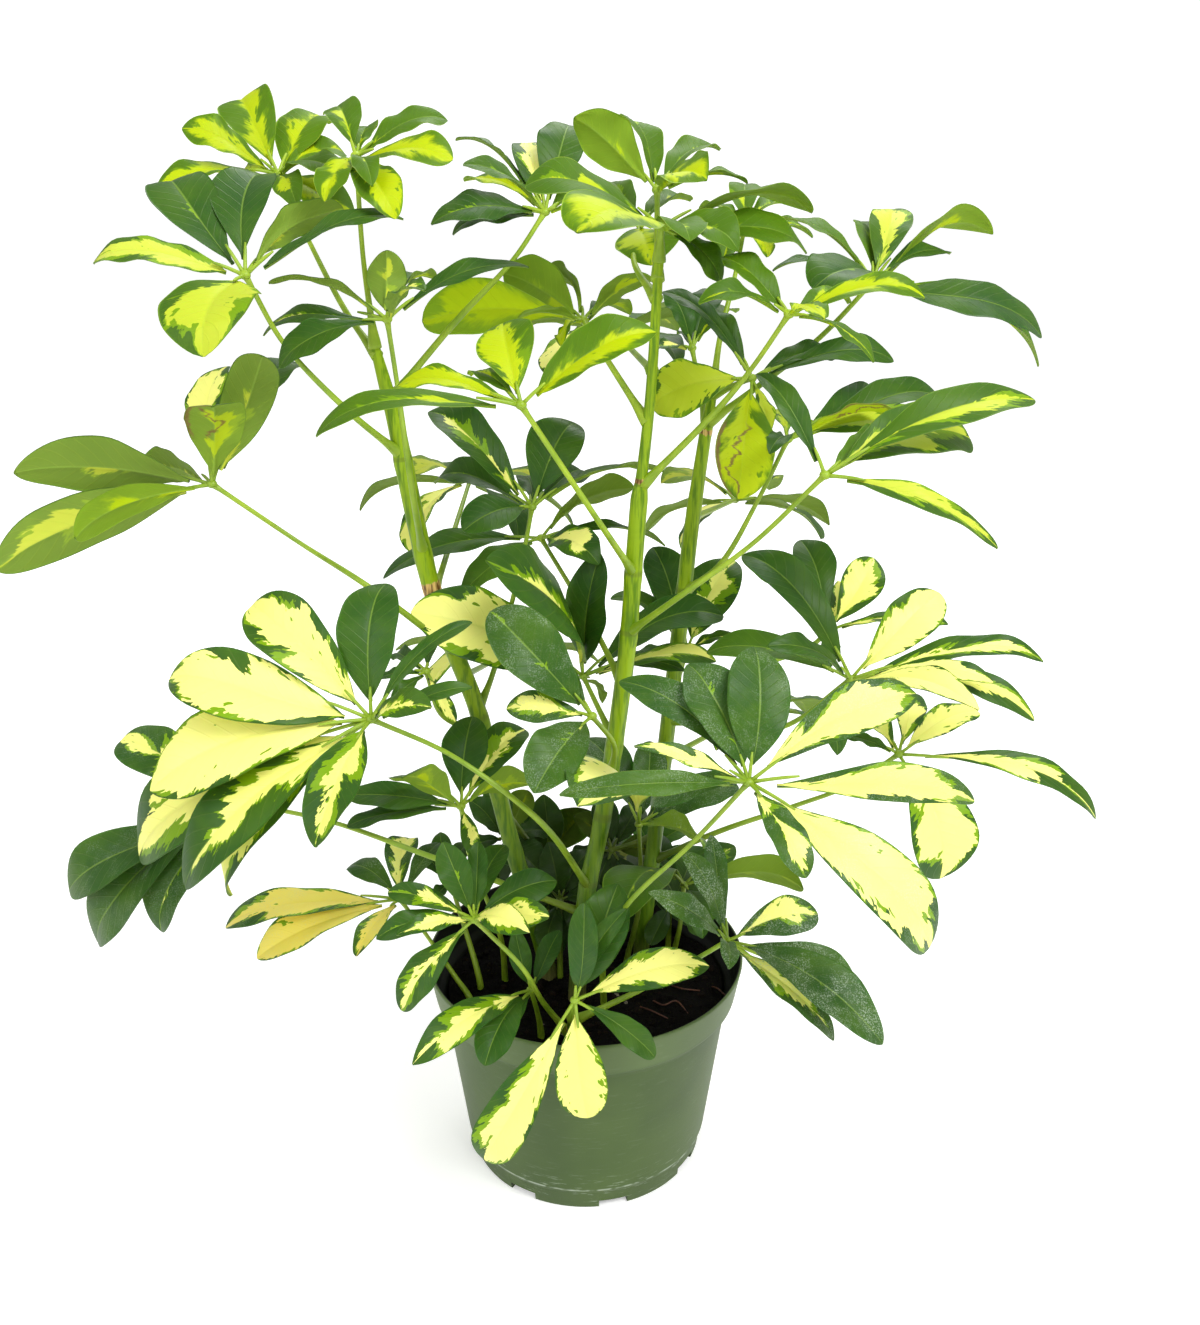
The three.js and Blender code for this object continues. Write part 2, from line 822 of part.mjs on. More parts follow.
function readLeaf(row) {
  const hub = knob(...row.hub, HUB_EASE);
  const base = row.stem === 'soil' ? onSoil(...row.from) : onStem(row.stem, ...row.from);
  const baseNearer = -base.y;
  const bends = row.via.map(([x, y], i) => {
    const part = (i + 1) / (row.via.length + 1);
    return knob(x, y, THREE.MathUtils.lerp(baseNearer, row.hub[2], part), 1);
  });
  const blades = row.blades.map(([x, y, nearer, breadth = 1, turn = 0]) => ({
    tip: knob(x, y, row.hub[2] + nearer, 1),
    breadth,
    turn,
  }));
  const { name, age, open, stem, root = STALK_START } = row;
  return { name, age, open, stem, root, base, bends, hub, blades };
}

// A leaf at the unseen back: its blades spread round the hub, drooping a little
function readBackLeaf([name, hub, stem, from]) {
  const centre = seenAt(...hub);
  const blades = [];
  for (let i = 0; i < BACK_COUNT; i++) {
    const turn = (2 * Math.PI * (i + between(-0.2, 0.2))) / BACK_COUNT;
    const reach = BACK_REACH * between(0.8, 1.1);
    const out = new THREE.Vector3(Math.cos(turn), Math.sin(turn), between(-0.45, 0.1));
    const [x, y, nearer] = pictureOf(centre.clone().addScaledVector(out.normalize(), reach));
    blades.push([x, y, nearer - hub[2]]);
  }
  return readLeaf({ name, age: 'mature', hub, stem, from, via: [], open: -0.2, blades });
}

const leaves = [...LEAVES.map(readLeaf), ...BACK_LEAVES.map(readBackLeaf)];

// The way a petiole runs, from inside its stem, or its hole in the soil, to the hub
function petioleCourse(leaf) {
  const points = [leaf.base, ...leaf.bends.map(place), place(leaf.hub)];
  const radii = points.map((_, i) => {
    return THREE.MathUtils.lerp(PETIOLE_FOOT_RADIUS, PETIOLE_RADIUS, Math.min(1, (2 * i) / points.length));
  });
  if (leaf.stem === 'soil') {
    points[0] = leaf.base.clone().setZ(SOIL_LEVEL + 2);
    points.unshift(leaf.base.clone().setZ(SOIL_LEVEL - HOLE_DEPTH));
    radii.unshift(PETIOLE_FOOT_RADIUS);
  }
  return course(points, radii, points.length + 1);
}

// How much of its greatest breadth a blade has, t of the way from the hub to the tip
const OUTLINE = [
  [0, 0],
  [0.12, 0.04],
  [0.36, 0.8],
  [0.74, 1],
  [1, 0],
];
function outline(t) {
  const i = OUTLINE.findIndex(([at]) => at >= t);
  if (i <= 0) return 0;
  const [t0, w0] = OUTLINE[i - 1];
  const [t1, w1] = OUTLINE[i];
  return w0 + ((w1 - w0) * (t - t0)) / (t1 - t0);
}

// A blade's middle surface: t runs from the hub to the tip, and s across it from -1 to 1.
function bladeSurface(leaf, blade, index) {
  const hub = place(leaf.hub);
  const tip = place(blade.tip);
  const along = tip.clone().sub(hub);
  const length = along.length();
  along.normalize();
  const bend = leaf.bends.length ? place(leaf.bends[leaf.bends.length - 1]) : leaf.base;
  const rising = hub.clone().sub(bend).normalize();
  const up = UPWARD.clone().multiplyScalar(0.7).addScaledVector(rising, 0.3);
  up.addScaledVector(TO_VIEWER, leaf.open + blade.turn + 0.12);
  up.addScaledVector(along, -up.dot(along)).normalize();
  const side = along.clone().cross(up);
  const half = (BLADE_BREADTH * length * blade.breadth) / 2;
  const at = (t, s) => {
    const wide = half * outline(t);
    const raised = 4 * t * (1 - t) * BLADE_ARCH * length;
    const folded = Math.abs(s) * wide * BLADE_FOLD * 2;
    const waved = s * outline(t) * BLADE_WAVE * Math.sin(9 * t + index);
    return hub
      .clone()
      .addScaledVector(along, length * t)
      .addScaledVector(side, s * wide)
      .addScaledVector(up, raised + folded + waved);
  };
  return { at, up, side, length };
}

function bladeSolid(leaf, blade, index) {
  const { at, up, side, length } = bladeSurface(leaf, blade, index);
  const points = [];
  const faces = [];
  const rows = OUTLINE.length - 2;
  for (let row = 0; row < rows; row++) {
    const t = row ? OUTLINE[row + 1][0] : (leaf.root + 0.07 * index) / length;
    const middle = at(t, 0);
    if (row === 0) {
      points.push(middle.clone().addScaledVector(side, -STALK_RADIUS));
      points.push(middle.clone().addScaledVector(up, STALK_RADIUS));
      points.push(middle.clone().addScaledVector(side, STALK_RADIUS));
      points.push(middle.clone().addScaledVector(up, -STALK_RADIUS));
    } else {
      points.push(at(t, -1));
      points.push(middle.clone().addScaledVector(up, BLADE_THICKNESS / 2));
      points.push(at(t, 1));
      points.push(middle.clone().addScaledVector(up, -BLADE_THICKNESS / 2));
    }
  }
  points.push(at(1, 0));
  const tip = points.length - 1;
  // Upper and lower faces share their edges' diagonals, so a waved blade is as thick throughout.
  for (let row = 0; row < 4 * (rows - 1); row += 4) {
    const [left, top, right, low] = [row, row + 1, row + 2, row + 3];
    faces.push([left, top + 4, left + 4], [left, top, top + 4]);
    faces.push([right, top + 4, top], [right, right + 4, top + 4]);
    faces.push([left, left + 4, low + 4], [left, low + 4, low]);
    faces.push([right, low + 4, right + 4], [right, low, low + 4]);
  }
  const end = 4 * (rows - 1);
  faces.push([end, end + 1, tip], [end + 1, end + 2, tip]);
  faces.push([end + 2, end + 3, tip], [end + 3, end, tip]);
  faces.push([0, 2, 1], [0, 3, 2]);
  return solidFrom(points, faces);
}

// Samples of a strand: each has its place in the picture, its depth, how far its
// body reaches in depth, and how much it follows each knob.
const ACROSS = [-1, -0.5, 0, 0.5, 1];
function strandsOf(leaf) {
  const strands = [];
  const petiole = petioleCourse(leaf);
  const knobs = [...leaf.bends, leaf.hub];
  const samples = [];
  petiole.forEach(({ point, radius }, i) => {
    if (i === 0) return;
    const before = petiole[i - 1].point;
    const steps = Math.max(1, Math.round(point.distanceTo(before) / 4));
    for (let k = 1; k <= steps; k++) {
      const mid = before.clone().lerp(point, k / steps);
      if (mid.distanceTo(leaf.base) < 12) continue;
      const along = ((i - 1 + k / steps) / (petiole.length - 1)) * knobs.length;
      const lower = Math.floor(along) - 1;
      const part = along - Math.floor(along);
      const follows = [];
      if (lower >= 0) follows.push([knobs[lower], 1 - part]);
      if (lower + 1 < knobs.length) follows.push([knobs[lower + 1], part]);
      samples.push({ seen: pictureOf(mid), reach: radius, follows, t: 0 });
    }
  });
  strands.push({ leaf, samples });
  leaf.blades.forEach((blade, index) => {
    const { at } = bladeSurface(leaf, blade, index);
    const list = [];
    for (let t = 0.1; t < 1.01; t += 0.09) {
      for (const s of outline(t) > 0.2 ? ACROSS : [0]) {
        const follows = [
          [leaf.hub, 1 - t],
          [blade.tip, t],
        ];
        list.push({ seen: pictureOf(at(t, s)), reach: 0, follows, t });
      }
    }
    strands.push({ leaf, samples: list });
  });
  return strands;
}

function stemStrands() {
  return [...stems].map(([name, rings]) => {
    const samples = [];
    for (let i = 1; i < rings.length; i++) {
      for (let part = 0; part < 1; part += 0.2) {
        const mid = rings[i - 1].point.clone().lerp(rings[i].point, part);
        const radius = rings[i].radius;
        const [x, y, nearer] = pictureOf(mid);
        for (const s of [-1, 0, 1]) {
          samples.push({ seen: [x + s * radius * 2.1, y, nearer], reach: radius, follows: [], t: 0 });
        }
      }
    }
    return { leaf: name, samples };
  });
}

// Leaves that the viewer sees one before the other may not touch: ease them apart in depth,
// in the order that they are given, without moving them in the picture.
function easeApart() {
  const fixed = stemStrands();
  const order = new Map();
  for (let round = 0; round < EASE_ROUNDS; round++) {
    const strands = [...fixed, ...leaves.flatMap(strandsOf)];
    const cells = new Map();
    strands.forEach((strand, index) => {
      for (const sample of strand.samples) {
        const key = Math.floor(sample.seen[0] / EASE_REACH) + 1000 * Math.floor(sample.seen[1] / EASE_REACH);
        if (!cells.has(key)) cells.set(key, []);
        cells.get(key).push({ ...sample, index });
      }
    });
    const pairs = new Map();
    for (const [key, here] of cells) {
      for (const step of [0, 1, 999, 1000, 1001]) {
        const there = cells.get(key + step);
        if (!there) continue;
        here.forEach((a, i) => {
          there.forEach((b, j) => {
            if (step === 0 && j <= i) return;
            if (a.index === b.index) return;
            const same = strands[a.index].leaf === strands[b.index].leaf;
            if (same && Math.min(a.t, b.t) < EASE_FREE) return;
            if (Math.hypot(a.seen[0] - b.seen[0], a.seen[1] - b.seen[1]) > EASE_REACH) return;
            const [p, q] = a.index < b.index ? [a, b] : [b, a];
            const name = p.index * 1000 + q.index;
            if (!pairs.has(name)) pairs.set(name, []);
            pairs.get(name).push([p, q]);
          });
        });
      }
    }
    let left = 0;
    for (const [name, list] of pairs) {
      if (!order.has(name)) {
        const sum = list.reduce((total, [p, q]) => total + p.seen[2] - q.seen[2], 0);
        order.set(name, sum >= 0 ? 1 : -1);
      }
      const sign = order.get(name);
      let worst = null;
      let most = 0;
      for (const [p, q] of list) {
        const gap = strands[p.index].leaf === strands[q.index].leaf ? EASE_SAME : EASE_GAP;
        const need = gap + p.reach + q.reach - sign * (p.seen[2] - q.seen[2]);
        if (need > most) {
          most = need;
          worst = [p, q];
        }
      }
      if (!worst) continue;
      left += 1;
      const [p, q] = worst;
      const movable = [p, q].filter((sample) => sample.follows.length);
      for (const sample of movable) {
        const way = sample === p ? sign : -sign;
        const move = (Math.min(most, EASE_STEP) * way * 0.55) / movable.length;
        const total = sample.follows.reduce((sum, [k, w]) => sum + k.ease * w * w, 0);
        for (const [k, w] of sample.follows) k.nearer += (move * k.ease * w) / Math.max(total, 0.2);
      }
    }
    if (!left) break;
  }
}
easeApart();

// The pot: one closed wall and floor, with drain openings round its foot
function makePot() {
  const shoulder = POT_HEIGHT - LIP_HEIGHT - SHOULDER_DROP;
  const wall = [
    [0, 0],
    [FOOT_RADIUS, 0],
    [BODY_FOOT_RADIUS, BODY_FOOT_HEIGHT],
    [SHOULDER_RADIUS, shoulder],
    [LIP_LOWER_RADIUS, POT_HEIGHT - LIP_HEIGHT],
    [RIM_RADIUS, POT_HEIGHT],
    [RIM_RADIUS - WALL, POT_HEIGHT],
    [LIP_LOWER_RADIUS - WALL, POT_HEIGHT - LIP_HEIGHT],
    [SHOULDER_RADIUS - WALL, shoulder],
    [FOOT_RADIUS - WALL, FLOOR_THICKNESS],
    [0, FLOOR_THICKNESS],
  ];
  const profile = wall.map(([r, z]) => new THREE.Vector2(r, z));
  let pot = solidOf(new THREE.LatheGeometry(profile, POT_SIDES).rotateX(Math.PI / 2));
  for (let i = 0; i < NOTCH_COUNT; i++) {
    const notch = new THREE.BoxGeometry(2 * NOTCH_DEPTH, NOTCH_WIDTH, 2 * NOTCH_HEIGHT);
    notch.translate(FOOT_RADIUS, 0, 0).rotateZ((2 * Math.PI * (i + 0.3)) / NOTCH_COUNT);
    pot = pot.subtract(solidOf(notch));
  }
  return pot;
}

// The soil fills the pot to its level, with shallow lumps on top
function makeSoil(holes) {
  const inside = (z) => {
    const part = (z - FLOOR_THICKNESS) / (POT_HEIGHT - LIP_HEIGHT - SHOULDER_DROP - FLOOR_THICKNESS);
    return THREE.MathUtils.lerp(FOOT_RADIUS - WALL, SHOULDER_RADIUS - WALL, Math.min(1, part)) - 2 * FIT;
  };
  const rings = [
    [inside(FLOOR_THICKNESS + FIT), FLOOR_THICKNESS + FIT],
    [inside(SOIL_LEVEL), SOIL_LEVEL - 4],
    [inside(SOIL_LEVEL) - 1, SOIL_LEVEL - 1],
    [50, SOIL_LEVEL],
    [25, SOIL_LEVEL],
  ];
  const sides = 22;
  const points = [];
  rings.forEach(([radius, height], row) => {
    for (let k = 0; k < sides; k++) {
      const turn = (2 * Math.PI * k) / sides;
      const lump = row > 2 ? SOIL_BUMP * between(-1, 1) : 0;
      points.push(new THREE.Vector3(radius * Math.cos(turn), radius * Math.sin(turn), height + lump));
    }
  });
  points.push(new THREE.Vector3(0, 0, SOIL_LEVEL), new THREE.Vector3(0, 0, FLOOR_THICKNESS + FIT));
  const faces = [];
  const last = (rings.length - 1) * sides;
  for (let k = 0; k < sides; k++) {
    const next = (k + 1) % sides;
    for (let row = 0; row < last; row += sides) {
      faces.push([row + k, row + next, row + sides + next]);
      faces.push([row + k, row + sides + next, row + sides + k]);
    }
    faces.push([last + k, last + next, points.length - 2]);
    faces.push([next, k, points.length - 1]);
  }
  return holes.reduce((soil, hole) => soil.subtract(hole), solidFrom(points, faces));
}

const plant = new THREE.Group();
plant.name = 'umbrella_plant';

function addNode(name, solid, material) {
  const { vertProperties, triVerts, numProp } = solid.getMesh();
  const flat = [];
  for (let i = 0; i < vertProperties.length; i += numProp) {
    flat.push(vertProperties[i], vertProperties[i + 1], vertProperties[i + 2]);
  }
  const geometry = new THREE.BufferGeometry();
  geometry.setAttribute('position', new THREE.Float32BufferAttribute(flat, 3));
  geometry.setIndex(Array.from(triVerts));
  const mesh = new THREE.Mesh(geometry, material);
  mesh.name = name;
  plant.add(mesh);
}

// Joining can shave off a crumb without volume: only the body itself is kept.
function largestBody(solid) {
  return solid.decompose().reduce((best, body) => (body.volume() > best.volume() ? body : best));
}

const SIDES_OF = { left: 7, centre: 7, right: 7, shoot: 5 };
const PETIOLE_SIDES = 4;
const holes = [];
for (const [name, rings] of stems) {
  addNode('stem_' + name, bar(rings, SIDES_OF[name]), COLOURS.stem);
  holes.push(bar(rings, SIDES_OF[name], FIT));
}
const wideStems = new Map([...stems].map(([name, rings]) => [name, bar(rings, SIDES_OF[name], FIT)]));

for (const leaf of leaves) {
  const rings = petioleCourse(leaf);
  let petiole = bar(rings, PETIOLE_SIDES);
  if (leaf.stem === 'soil') holes.push(bar(rings, PETIOLE_SIDES, FIT));
  else petiole = petiole.subtract(wideStems.get(leaf.stem));
  const knot = new THREE.OctahedronGeometry(HUB_RADIUS, 0);
  const centre = place(leaf.hub);
  knot.translate(centre.x, centre.y, centre.z);
  const blades = leaf.blades.map((blade, index) => bladeSolid(leaf, blade, index));
  const whole = wasm.Manifold.union([petiole, solidOf(knot), ...blades]);
  addNode(leaf.name, largestBody(whole), leaf.age === 'young' ? COLOURS.young : COLOURS.mature);
}

addNode('pot', makePot(), COLOURS.pot);
addNode('soil', makeSoil(holes), COLOURS.soil);

export default plant;
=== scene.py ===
# %% [markdown]
# # A variegated umbrella plant in a nursery pot
#
# This lesson grows a small umbrella tree: fans of oval leaflets on slim petioles, three green
# stems, dark soil and a plain green pot. The imported frame gives the true sizes. Each leaf of the
# frame is a coarse solid, and here a fine leaf is grown over it from the same table, so
# that a reader can follow how one rule turns a few named points into a whole plant.

# %% Open the frame
import math
import bpy
import numpy as np
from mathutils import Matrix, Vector, noise


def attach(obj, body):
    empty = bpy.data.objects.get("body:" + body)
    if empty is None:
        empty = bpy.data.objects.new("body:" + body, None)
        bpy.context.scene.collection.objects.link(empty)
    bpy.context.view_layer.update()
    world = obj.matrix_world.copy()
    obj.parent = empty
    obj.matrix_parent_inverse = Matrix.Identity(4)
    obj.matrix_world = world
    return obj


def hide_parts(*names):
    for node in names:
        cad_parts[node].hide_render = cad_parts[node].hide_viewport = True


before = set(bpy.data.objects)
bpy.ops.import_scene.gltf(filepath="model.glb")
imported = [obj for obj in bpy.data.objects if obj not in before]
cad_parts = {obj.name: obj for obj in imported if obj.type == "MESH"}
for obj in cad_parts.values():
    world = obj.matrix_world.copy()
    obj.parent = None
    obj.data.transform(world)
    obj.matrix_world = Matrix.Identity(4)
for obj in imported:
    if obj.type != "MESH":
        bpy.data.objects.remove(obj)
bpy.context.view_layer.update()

MM = 0.001

# %% [markdown]
# ## The viewer's eye
#
# A plant is hard to measure but easy to look at, so its points are written down as they are seen:
# where they lie in the 1200 by 1325 picture, and how many millimetres they are nearer than the
# pot's axis. The eye's place and tilt were fitted to the pot's rim and foot. With them, a sight
# line turns each such note into a point in space. The camera stands in the same eye.

# %% Sight lines
EYE = np.array([7.6, -588.0, 500.0])
PITCH = math.radians(20.8)
FOCAL, PICTURE_WIDTH, PICTURE_HEIGHT = 1300.0, 1200.0, 1325.0
MIDDLE = (PICTURE_WIDTH / 2, PICTURE_HEIGHT / 2)
SIN, COS = math.sin(PITCH), math.cos(PITCH)
TO_VIEWER = np.array([0.0, -COS, SIN])
UPWARD = np.array([0.0, 0.0, 1.0])
SOIL_LEVEL = 95.0


def seen_at(x, y, nearer):
    """The point seen at (x, y) that is that many millimetres in front of the pot's axis."""
    right, up = x - MIDDLE[0], MIDDLE[1] - y
    line = np.stack([right, FOCAL * COS + up * SIN, up * COS - FOCAL * SIN], -1)
    return EYE + line * ((-nearer - EYE[1]) / line[..., 1])[..., None]


def picture_of(points):
    """Where points are seen, and how near they are: x, y and nearer in the last axis."""
    d = np.asarray(points) - EYE
    ahead = d[..., 1] * COS - d[..., 2] * SIN
    above = d[..., 1] * SIN + d[..., 2] * COS
    x = MIDDLE[0] + FOCAL * d[..., 0] / ahead
    y = MIDDLE[1] - FOCAL * above / ahead
    return np.stack([x, y, -d[..., 1] - EYE[1]], -1)


def on_soil(x, y):
    """The point at the soil's level that is seen at (x, y)."""
    line = seen_at(x, y, 0.0) - EYE
    return EYE + line * ((SOIL_LEVEL - EYE[2]) / line[2])


# %% Camera in the viewer's eye
SENSOR = 36.0
camera_data = bpy.data.cameras.new("eye")
camera_data.sensor_width = SENSOR
camera_data.lens = SENSOR * FOCAL / PICTURE_HEIGHT
camera_data.clip_start, camera_data.clip_end = 0.01, 50.0
camera = bpy.data.objects.new("eye", camera_data)
camera.location = Vector(EYE * MM)
camera.rotation_euler = (math.pi / 2 - PITCH, 0.0, 0.0)
bpy.context.scene.collection.objects.link(camera)
bpy.context.scene.camera = camera
print("camera at", [round(v, 3) for v in camera.location], "lens", round(camera_data.lens, 1))

# %% [markdown]
# ## Small helpers for meshes
#
# Every piece below is a mesh made from rows of points. These helpers turn rows into faces, join
# several bodies in one mesh, and turn points and faces into an object.

# %% Mesh helpers
def rows_to_faces(rows, columns, first=0, closed=True, flip=False):
    """Quads between rows of points. A closed row joins its last point to its first."""
    faces = []
    for row in range(rows - 1):
        for k in range(columns if closed else columns - 1):
            n = (k + 1) % columns
            a, b = first + row * columns + k, first + row * columns + n
            c, d = b + columns, a + columns
            faces.append((a, d, c, b) if flip else (a, b, c, d))
    return faces


def barrel_faces(rings, sides):
    """Quads between rings of points, and one face over each end."""
    last = (rings - 1) * sides
    return [
        *rows_to_faces(rings, sides),
        tuple(range(sides))[::-1],
        tuple(last + k for k in range(sides)),
    ]


def level_ring(radius, height, sides):
    turns = np.arange(sides) * 2 * math.pi / sides
    return np.stack([radius * np.cos(turns), radius * np.sin(turns), np.full(sides, height)], -1)


def join(points, faces, new_points, new_faces):
    """Adds one body to the lists from which a mesh is made."""
    first = sum(len(part) for part in points)
    points.append(new_points)
    faces.extend(tuple(first + i for i in face) for face in new_faces)


def make_piece(name, points, faces, materials, slots=None, smooth=True):
    """A mesh object in metres from points in millimetres."""
    mesh = bpy.data.meshes.new(name)
    mesh.from_pydata((np.asarray(points) * MM).tolist(), [], faces)
    for material in materials:
        mesh.materials.append(material)
    if slots is not None:
        mesh.polygons.foreach_set("material_index", slots)
    mesh.polygons.foreach_set("use_smooth", [smooth] * len(mesh.polygons))
    mesh.update()
    piece = bpy.data.objects.new(name, mesh)
    bpy.context.scene.collection.objects.link(piece)
    return piece


def carry(piece, **marks):
    """Lets a mesh carry numbers at its points, which its shader reads."""
    for name, values in marks.items():
        layer = piece.data.attributes.new(name, "FLOAT", "POINT")
        layer.data.foreach_set("value", np.asarray(values).astype(np.float32))


def unit(v):
    return v / np.maximum(np.linalg.norm(v, axis=-1, keepdims=True), 1e-9)


def bell(away, width):
    """1 in the middle, and less on both sides."""
    return np.exp(-((away / width) ** 2))


def tube(points, radii, sides, swell=None):
    """Rings of points round a course, with the faces that close it at both ends."""
    points, radii = np.asarray(points), np.asarray(radii)
    rings = []
    side = np.array([1.0, 0.1, 0.0])
    turn = np.arange(sides) * 2 * math.pi / sides
    for i, centre in enumerate(points):
        along = unit(points[min(i + 1, len(points) - 1)] - points[max(i - 1, 0)])
        side = unit(side - along * (side @ along))
        across = np.cross(along, side)
        out = side[None] * np.cos(turn)[:, None] + across[None] * np.sin(turn)[:, None]
        radius = radii[i] * (np.ones(sides) if swell is None else swell(i, turn))
        rings.append(centre + out * radius[:, None])
    return np.concatenate(rings), barrel_faces(len(rings), sides)


# %% A smooth course through points
def smooth_course(points, radii, count):
    """A centripetal Catmull-Rom curve through the points, with radii, at count + 1 steps."""
    points = [np.asarray(p, float) for p in points]
    inner = [2 * points[0] - points[1], *points, 2 * points[-1] - points[-2]]
    made, sizes = [], []
    for step in range(count + 1):
        place = step / count * (len(points) - 1)
        i = min(int(place), len(points) - 2)
        f = place - i
        p0, p1, p2, p3 = inner[i : i + 4]
        gaps = ((p0, p1), (p1, p2), (p2, p3))
        d0, d1, d2 = (max(np.dot(b - a, b - a) ** 0.25, 1e-4) for a, b in gaps)
        t1 = ((p1 - p0) / d0 - (p2 - p0) / (d0 + d1) + (p2 - p1) / d1) * d1
        t2 = ((p2 - p1) / d1 - (p3 - p1) / (d1 + d2) + (p3 - p2) / d2) * d1
        a2, a3 = -3 * p1 + 3 * p2 - 2 * t1 - t2, 2 * p1 - 2 * p2 + t1 + t2
        made.append(p1 + t1 * f + a2 * f * f + a3 * f**3)
        sizes.append(radii[i] + (radii[i + 1] - radii[i]) * f)
    return np.array(made), np.array(sizes)


# %% [markdown]
# ## Stems and leaves, as they are seen
#
# This is the plant written down. A stem is a list of places with a radius. A leaf has the
# stem and the place that it grows from, the bends that its petiole goes by, the hub where its
# leaflets meet, how far it turns to the viewer, and one letter and one tip for each leaflet: the
# tip's place, how much nearer than the hub it is, and where needed how broad the leaflet is and
# how far its own face turns.
#
# A letter says what a leaflet looks like. y, p, g and s are fresh, and l, x, h, z, u, k and o half
# grown. Grown ones run from d, plain dark green, over b, r and m, which are streaked, and v, which
# has a cream middle, to c and e, cream nearly to the edge. n and a are cream painted golden as
# shade, and s and k are scorched.

# %% What the letters mean
PAINTS = {  # age, share of cream, and 1 where it is scorched or 0.5 where its cream is painted golden as shade
    "y": (0.05, 0.6), "p": (0.1, 0.12), "g": (0.22, -0.28), "s": (0.1, 0.9, 1.0),
    "l": (0.5, 0.8), "x": (0.56, 0.5), "h": (0.56, 0.95), "z": (0.6, 0.12),
    "u": (0.45, -0.1), "k": (0.5, -0.2, 1.0), "o": (0.6, -0.4),
    "d": (1.0, -0.9), "b": (0.88, -0.35), "r": (0.88, -0.1), "m": (0.95, -0.12),
    "v": (1.0, 0.4), "c": (1.0, 0.75), "e": (1.0, 1.15),
    "n": (1.0, 0.75, 0.5), "a": (1.0, 1.15, 0.5),
}

# %% Stems
STEMS = {
    "left": [
        (548, 975, 2, 5.2), (505, 820, 5, 5), (478, 712, 8, 4.9), (450, 640, 9, 4.9),
        (431, 586, 10, 5), (405, 470, 10, 4.9), (396, 425, 10, 4.4), (384, 380, 10, 3.4),
        (374, 344, 10, 2.4),
    ],
    "centre": [
        (577, 997, 16, 5.4), (586, 895, 18, 5.2), (600, 830, 18, 5), (615, 740, 19, 4.9),
        (628, 640, 20, 4.8), (633, 575, 21, 4.7), (639, 500, 22, 4.6), (641, 482, 22, 3.1),
        (650, 400, 23, 2.7), (660, 242, 25, 2.4),
    ],
    "right": [
        (640, 965, -14, 5), (652, 860, -16, 4.8), (664, 757, -18, 4.7), (672, 690, -19, 4.7),
        (684, 590, -20, 4.6), (691, 530, -21, 4.3), (706, 430, -22, 3.4), (714, 385, -24, 2.4),
    ],
    "shoot": [(571, 1040, 47, 2.9), (572, 1022, 60, 2.7), (573, 1015, 68, 2.4)],
}

# %% Leaves
LEAVES = []


def add_leaf(name, stem, start, via, hub, facing, paint, *blades, dust_and_sheen=0.0):
    LEAVES.append(dict(
        name=name, stem=stem, start=start, via=via, hub=hub, facing=facing, paint=paint,
        blades=blades, dust_and_sheen=dust_and_sheen,
    ))


add_leaf(
    "leaf_left_top", "left", (373, 356), [(345, 310), (308, 239)], (278, 174, -35), 0.1,
    "yyppgypyy",
    (182, 128, 10, 1.1, 0.9), (240, 98, -35, 1.3, 0.9), (327, 116, -40, 1.4, 0.8),
    (345, 150, -22, 1.2, 0.8), (340, 172, 28, 0.9, 0.4), (353, 218, 20, 1.1, 0.9),
    (297, 206, 38, 0.9, 0.6), (154, 196, 22, 0.8, 0.6), (235, 187, -30, 0.8, 0.4),
)
add_leaf(
    "leaf_left_crown", "left", (375, 348), [(370, 310), (363, 256)], (356, 156, 20), 0.15,
    "gggyygy",
    (337, 106, -28, 1.2, 0.8), (372, 129, -32, 0.8, 0.2), (447, 118, -15, 1, 0.4),
    (453, 159, 15, 1, 0.6), (395, 214, 32, 1.1, 0.8), (372, 184, 30, 0.8),
    (324, 197, 25, 1.4, 0.9),
)
add_leaf(
    "leaf_left_wide", "left", (400, 459), [(346, 409), (285, 345)], (245, 275, 55), 0.1,
    "xddrdh",
    (92, 258, 5, 0.85, 0.6), (168, 178, -38, 1.15, 0.5), (263, 170, -45, 1.15, 0.5),
    (343, 208, -35, 0.8, -1.3), (403, 217, -12, 0.5, 0.3), (200, 345, 42, 2.3, 0.8),
)
add_leaf(
    "leaf_left_middle", "left", (426, 552), [(412, 489), (397, 383)], (387, 319, 32), 0.1,
    "rrdrurd",
    (387, 250, -20, 1.5, -2.2), (269, 281, 5, 0.5, -0.6), (278, 363, 18, 0.9, 0.2),
    (263, 335, -12, 0.6), (435, 275, -40, 0.8, -0.8), (425, 290, 30, 0.8),
    (529, 267, -15, 0.5, 0.3),
)
add_leaf(
    "leaf_left_low", "left", (455, 652), [(369, 587), (300, 543)], (212, 484, 35), -0.35,
    "rrgrkrvd",
    (16, 470, 5, 0.8, -1.5), (-4, 566, 18, 0.7, -1.4), (73, 537, 38, 0.75, -1.1),
    (137, 472, -35, 0.9, -1), (212, 403, 30, 1.3, -0.8), (263, 354, 5, 0.9, -1.1),
    (224, 364, -28, 0.9, 0.4), (300, 360, -38, 0.9, 0.6),
)
add_leaf(
    "leaf_front_left", "centre", (586, 886), [(533, 815), (456, 758)], (371, 719, 105), 0.6,
    "ecvcvccdddv",
    (150, 790, 12, 1.05), (139, 856, -15, 0.75), (182, 887, 28, 0.85), (225, 895, -8, 0.6),
    (314, 846, 42, 1.1), (167, 675, -8, 0.95), (250, 603, -30), (384, 581, -34, 1.15),
    (471, 621, -22, 0.4), (471, 686, 5, 0.5), (431, 707, 26, 0.9),
)
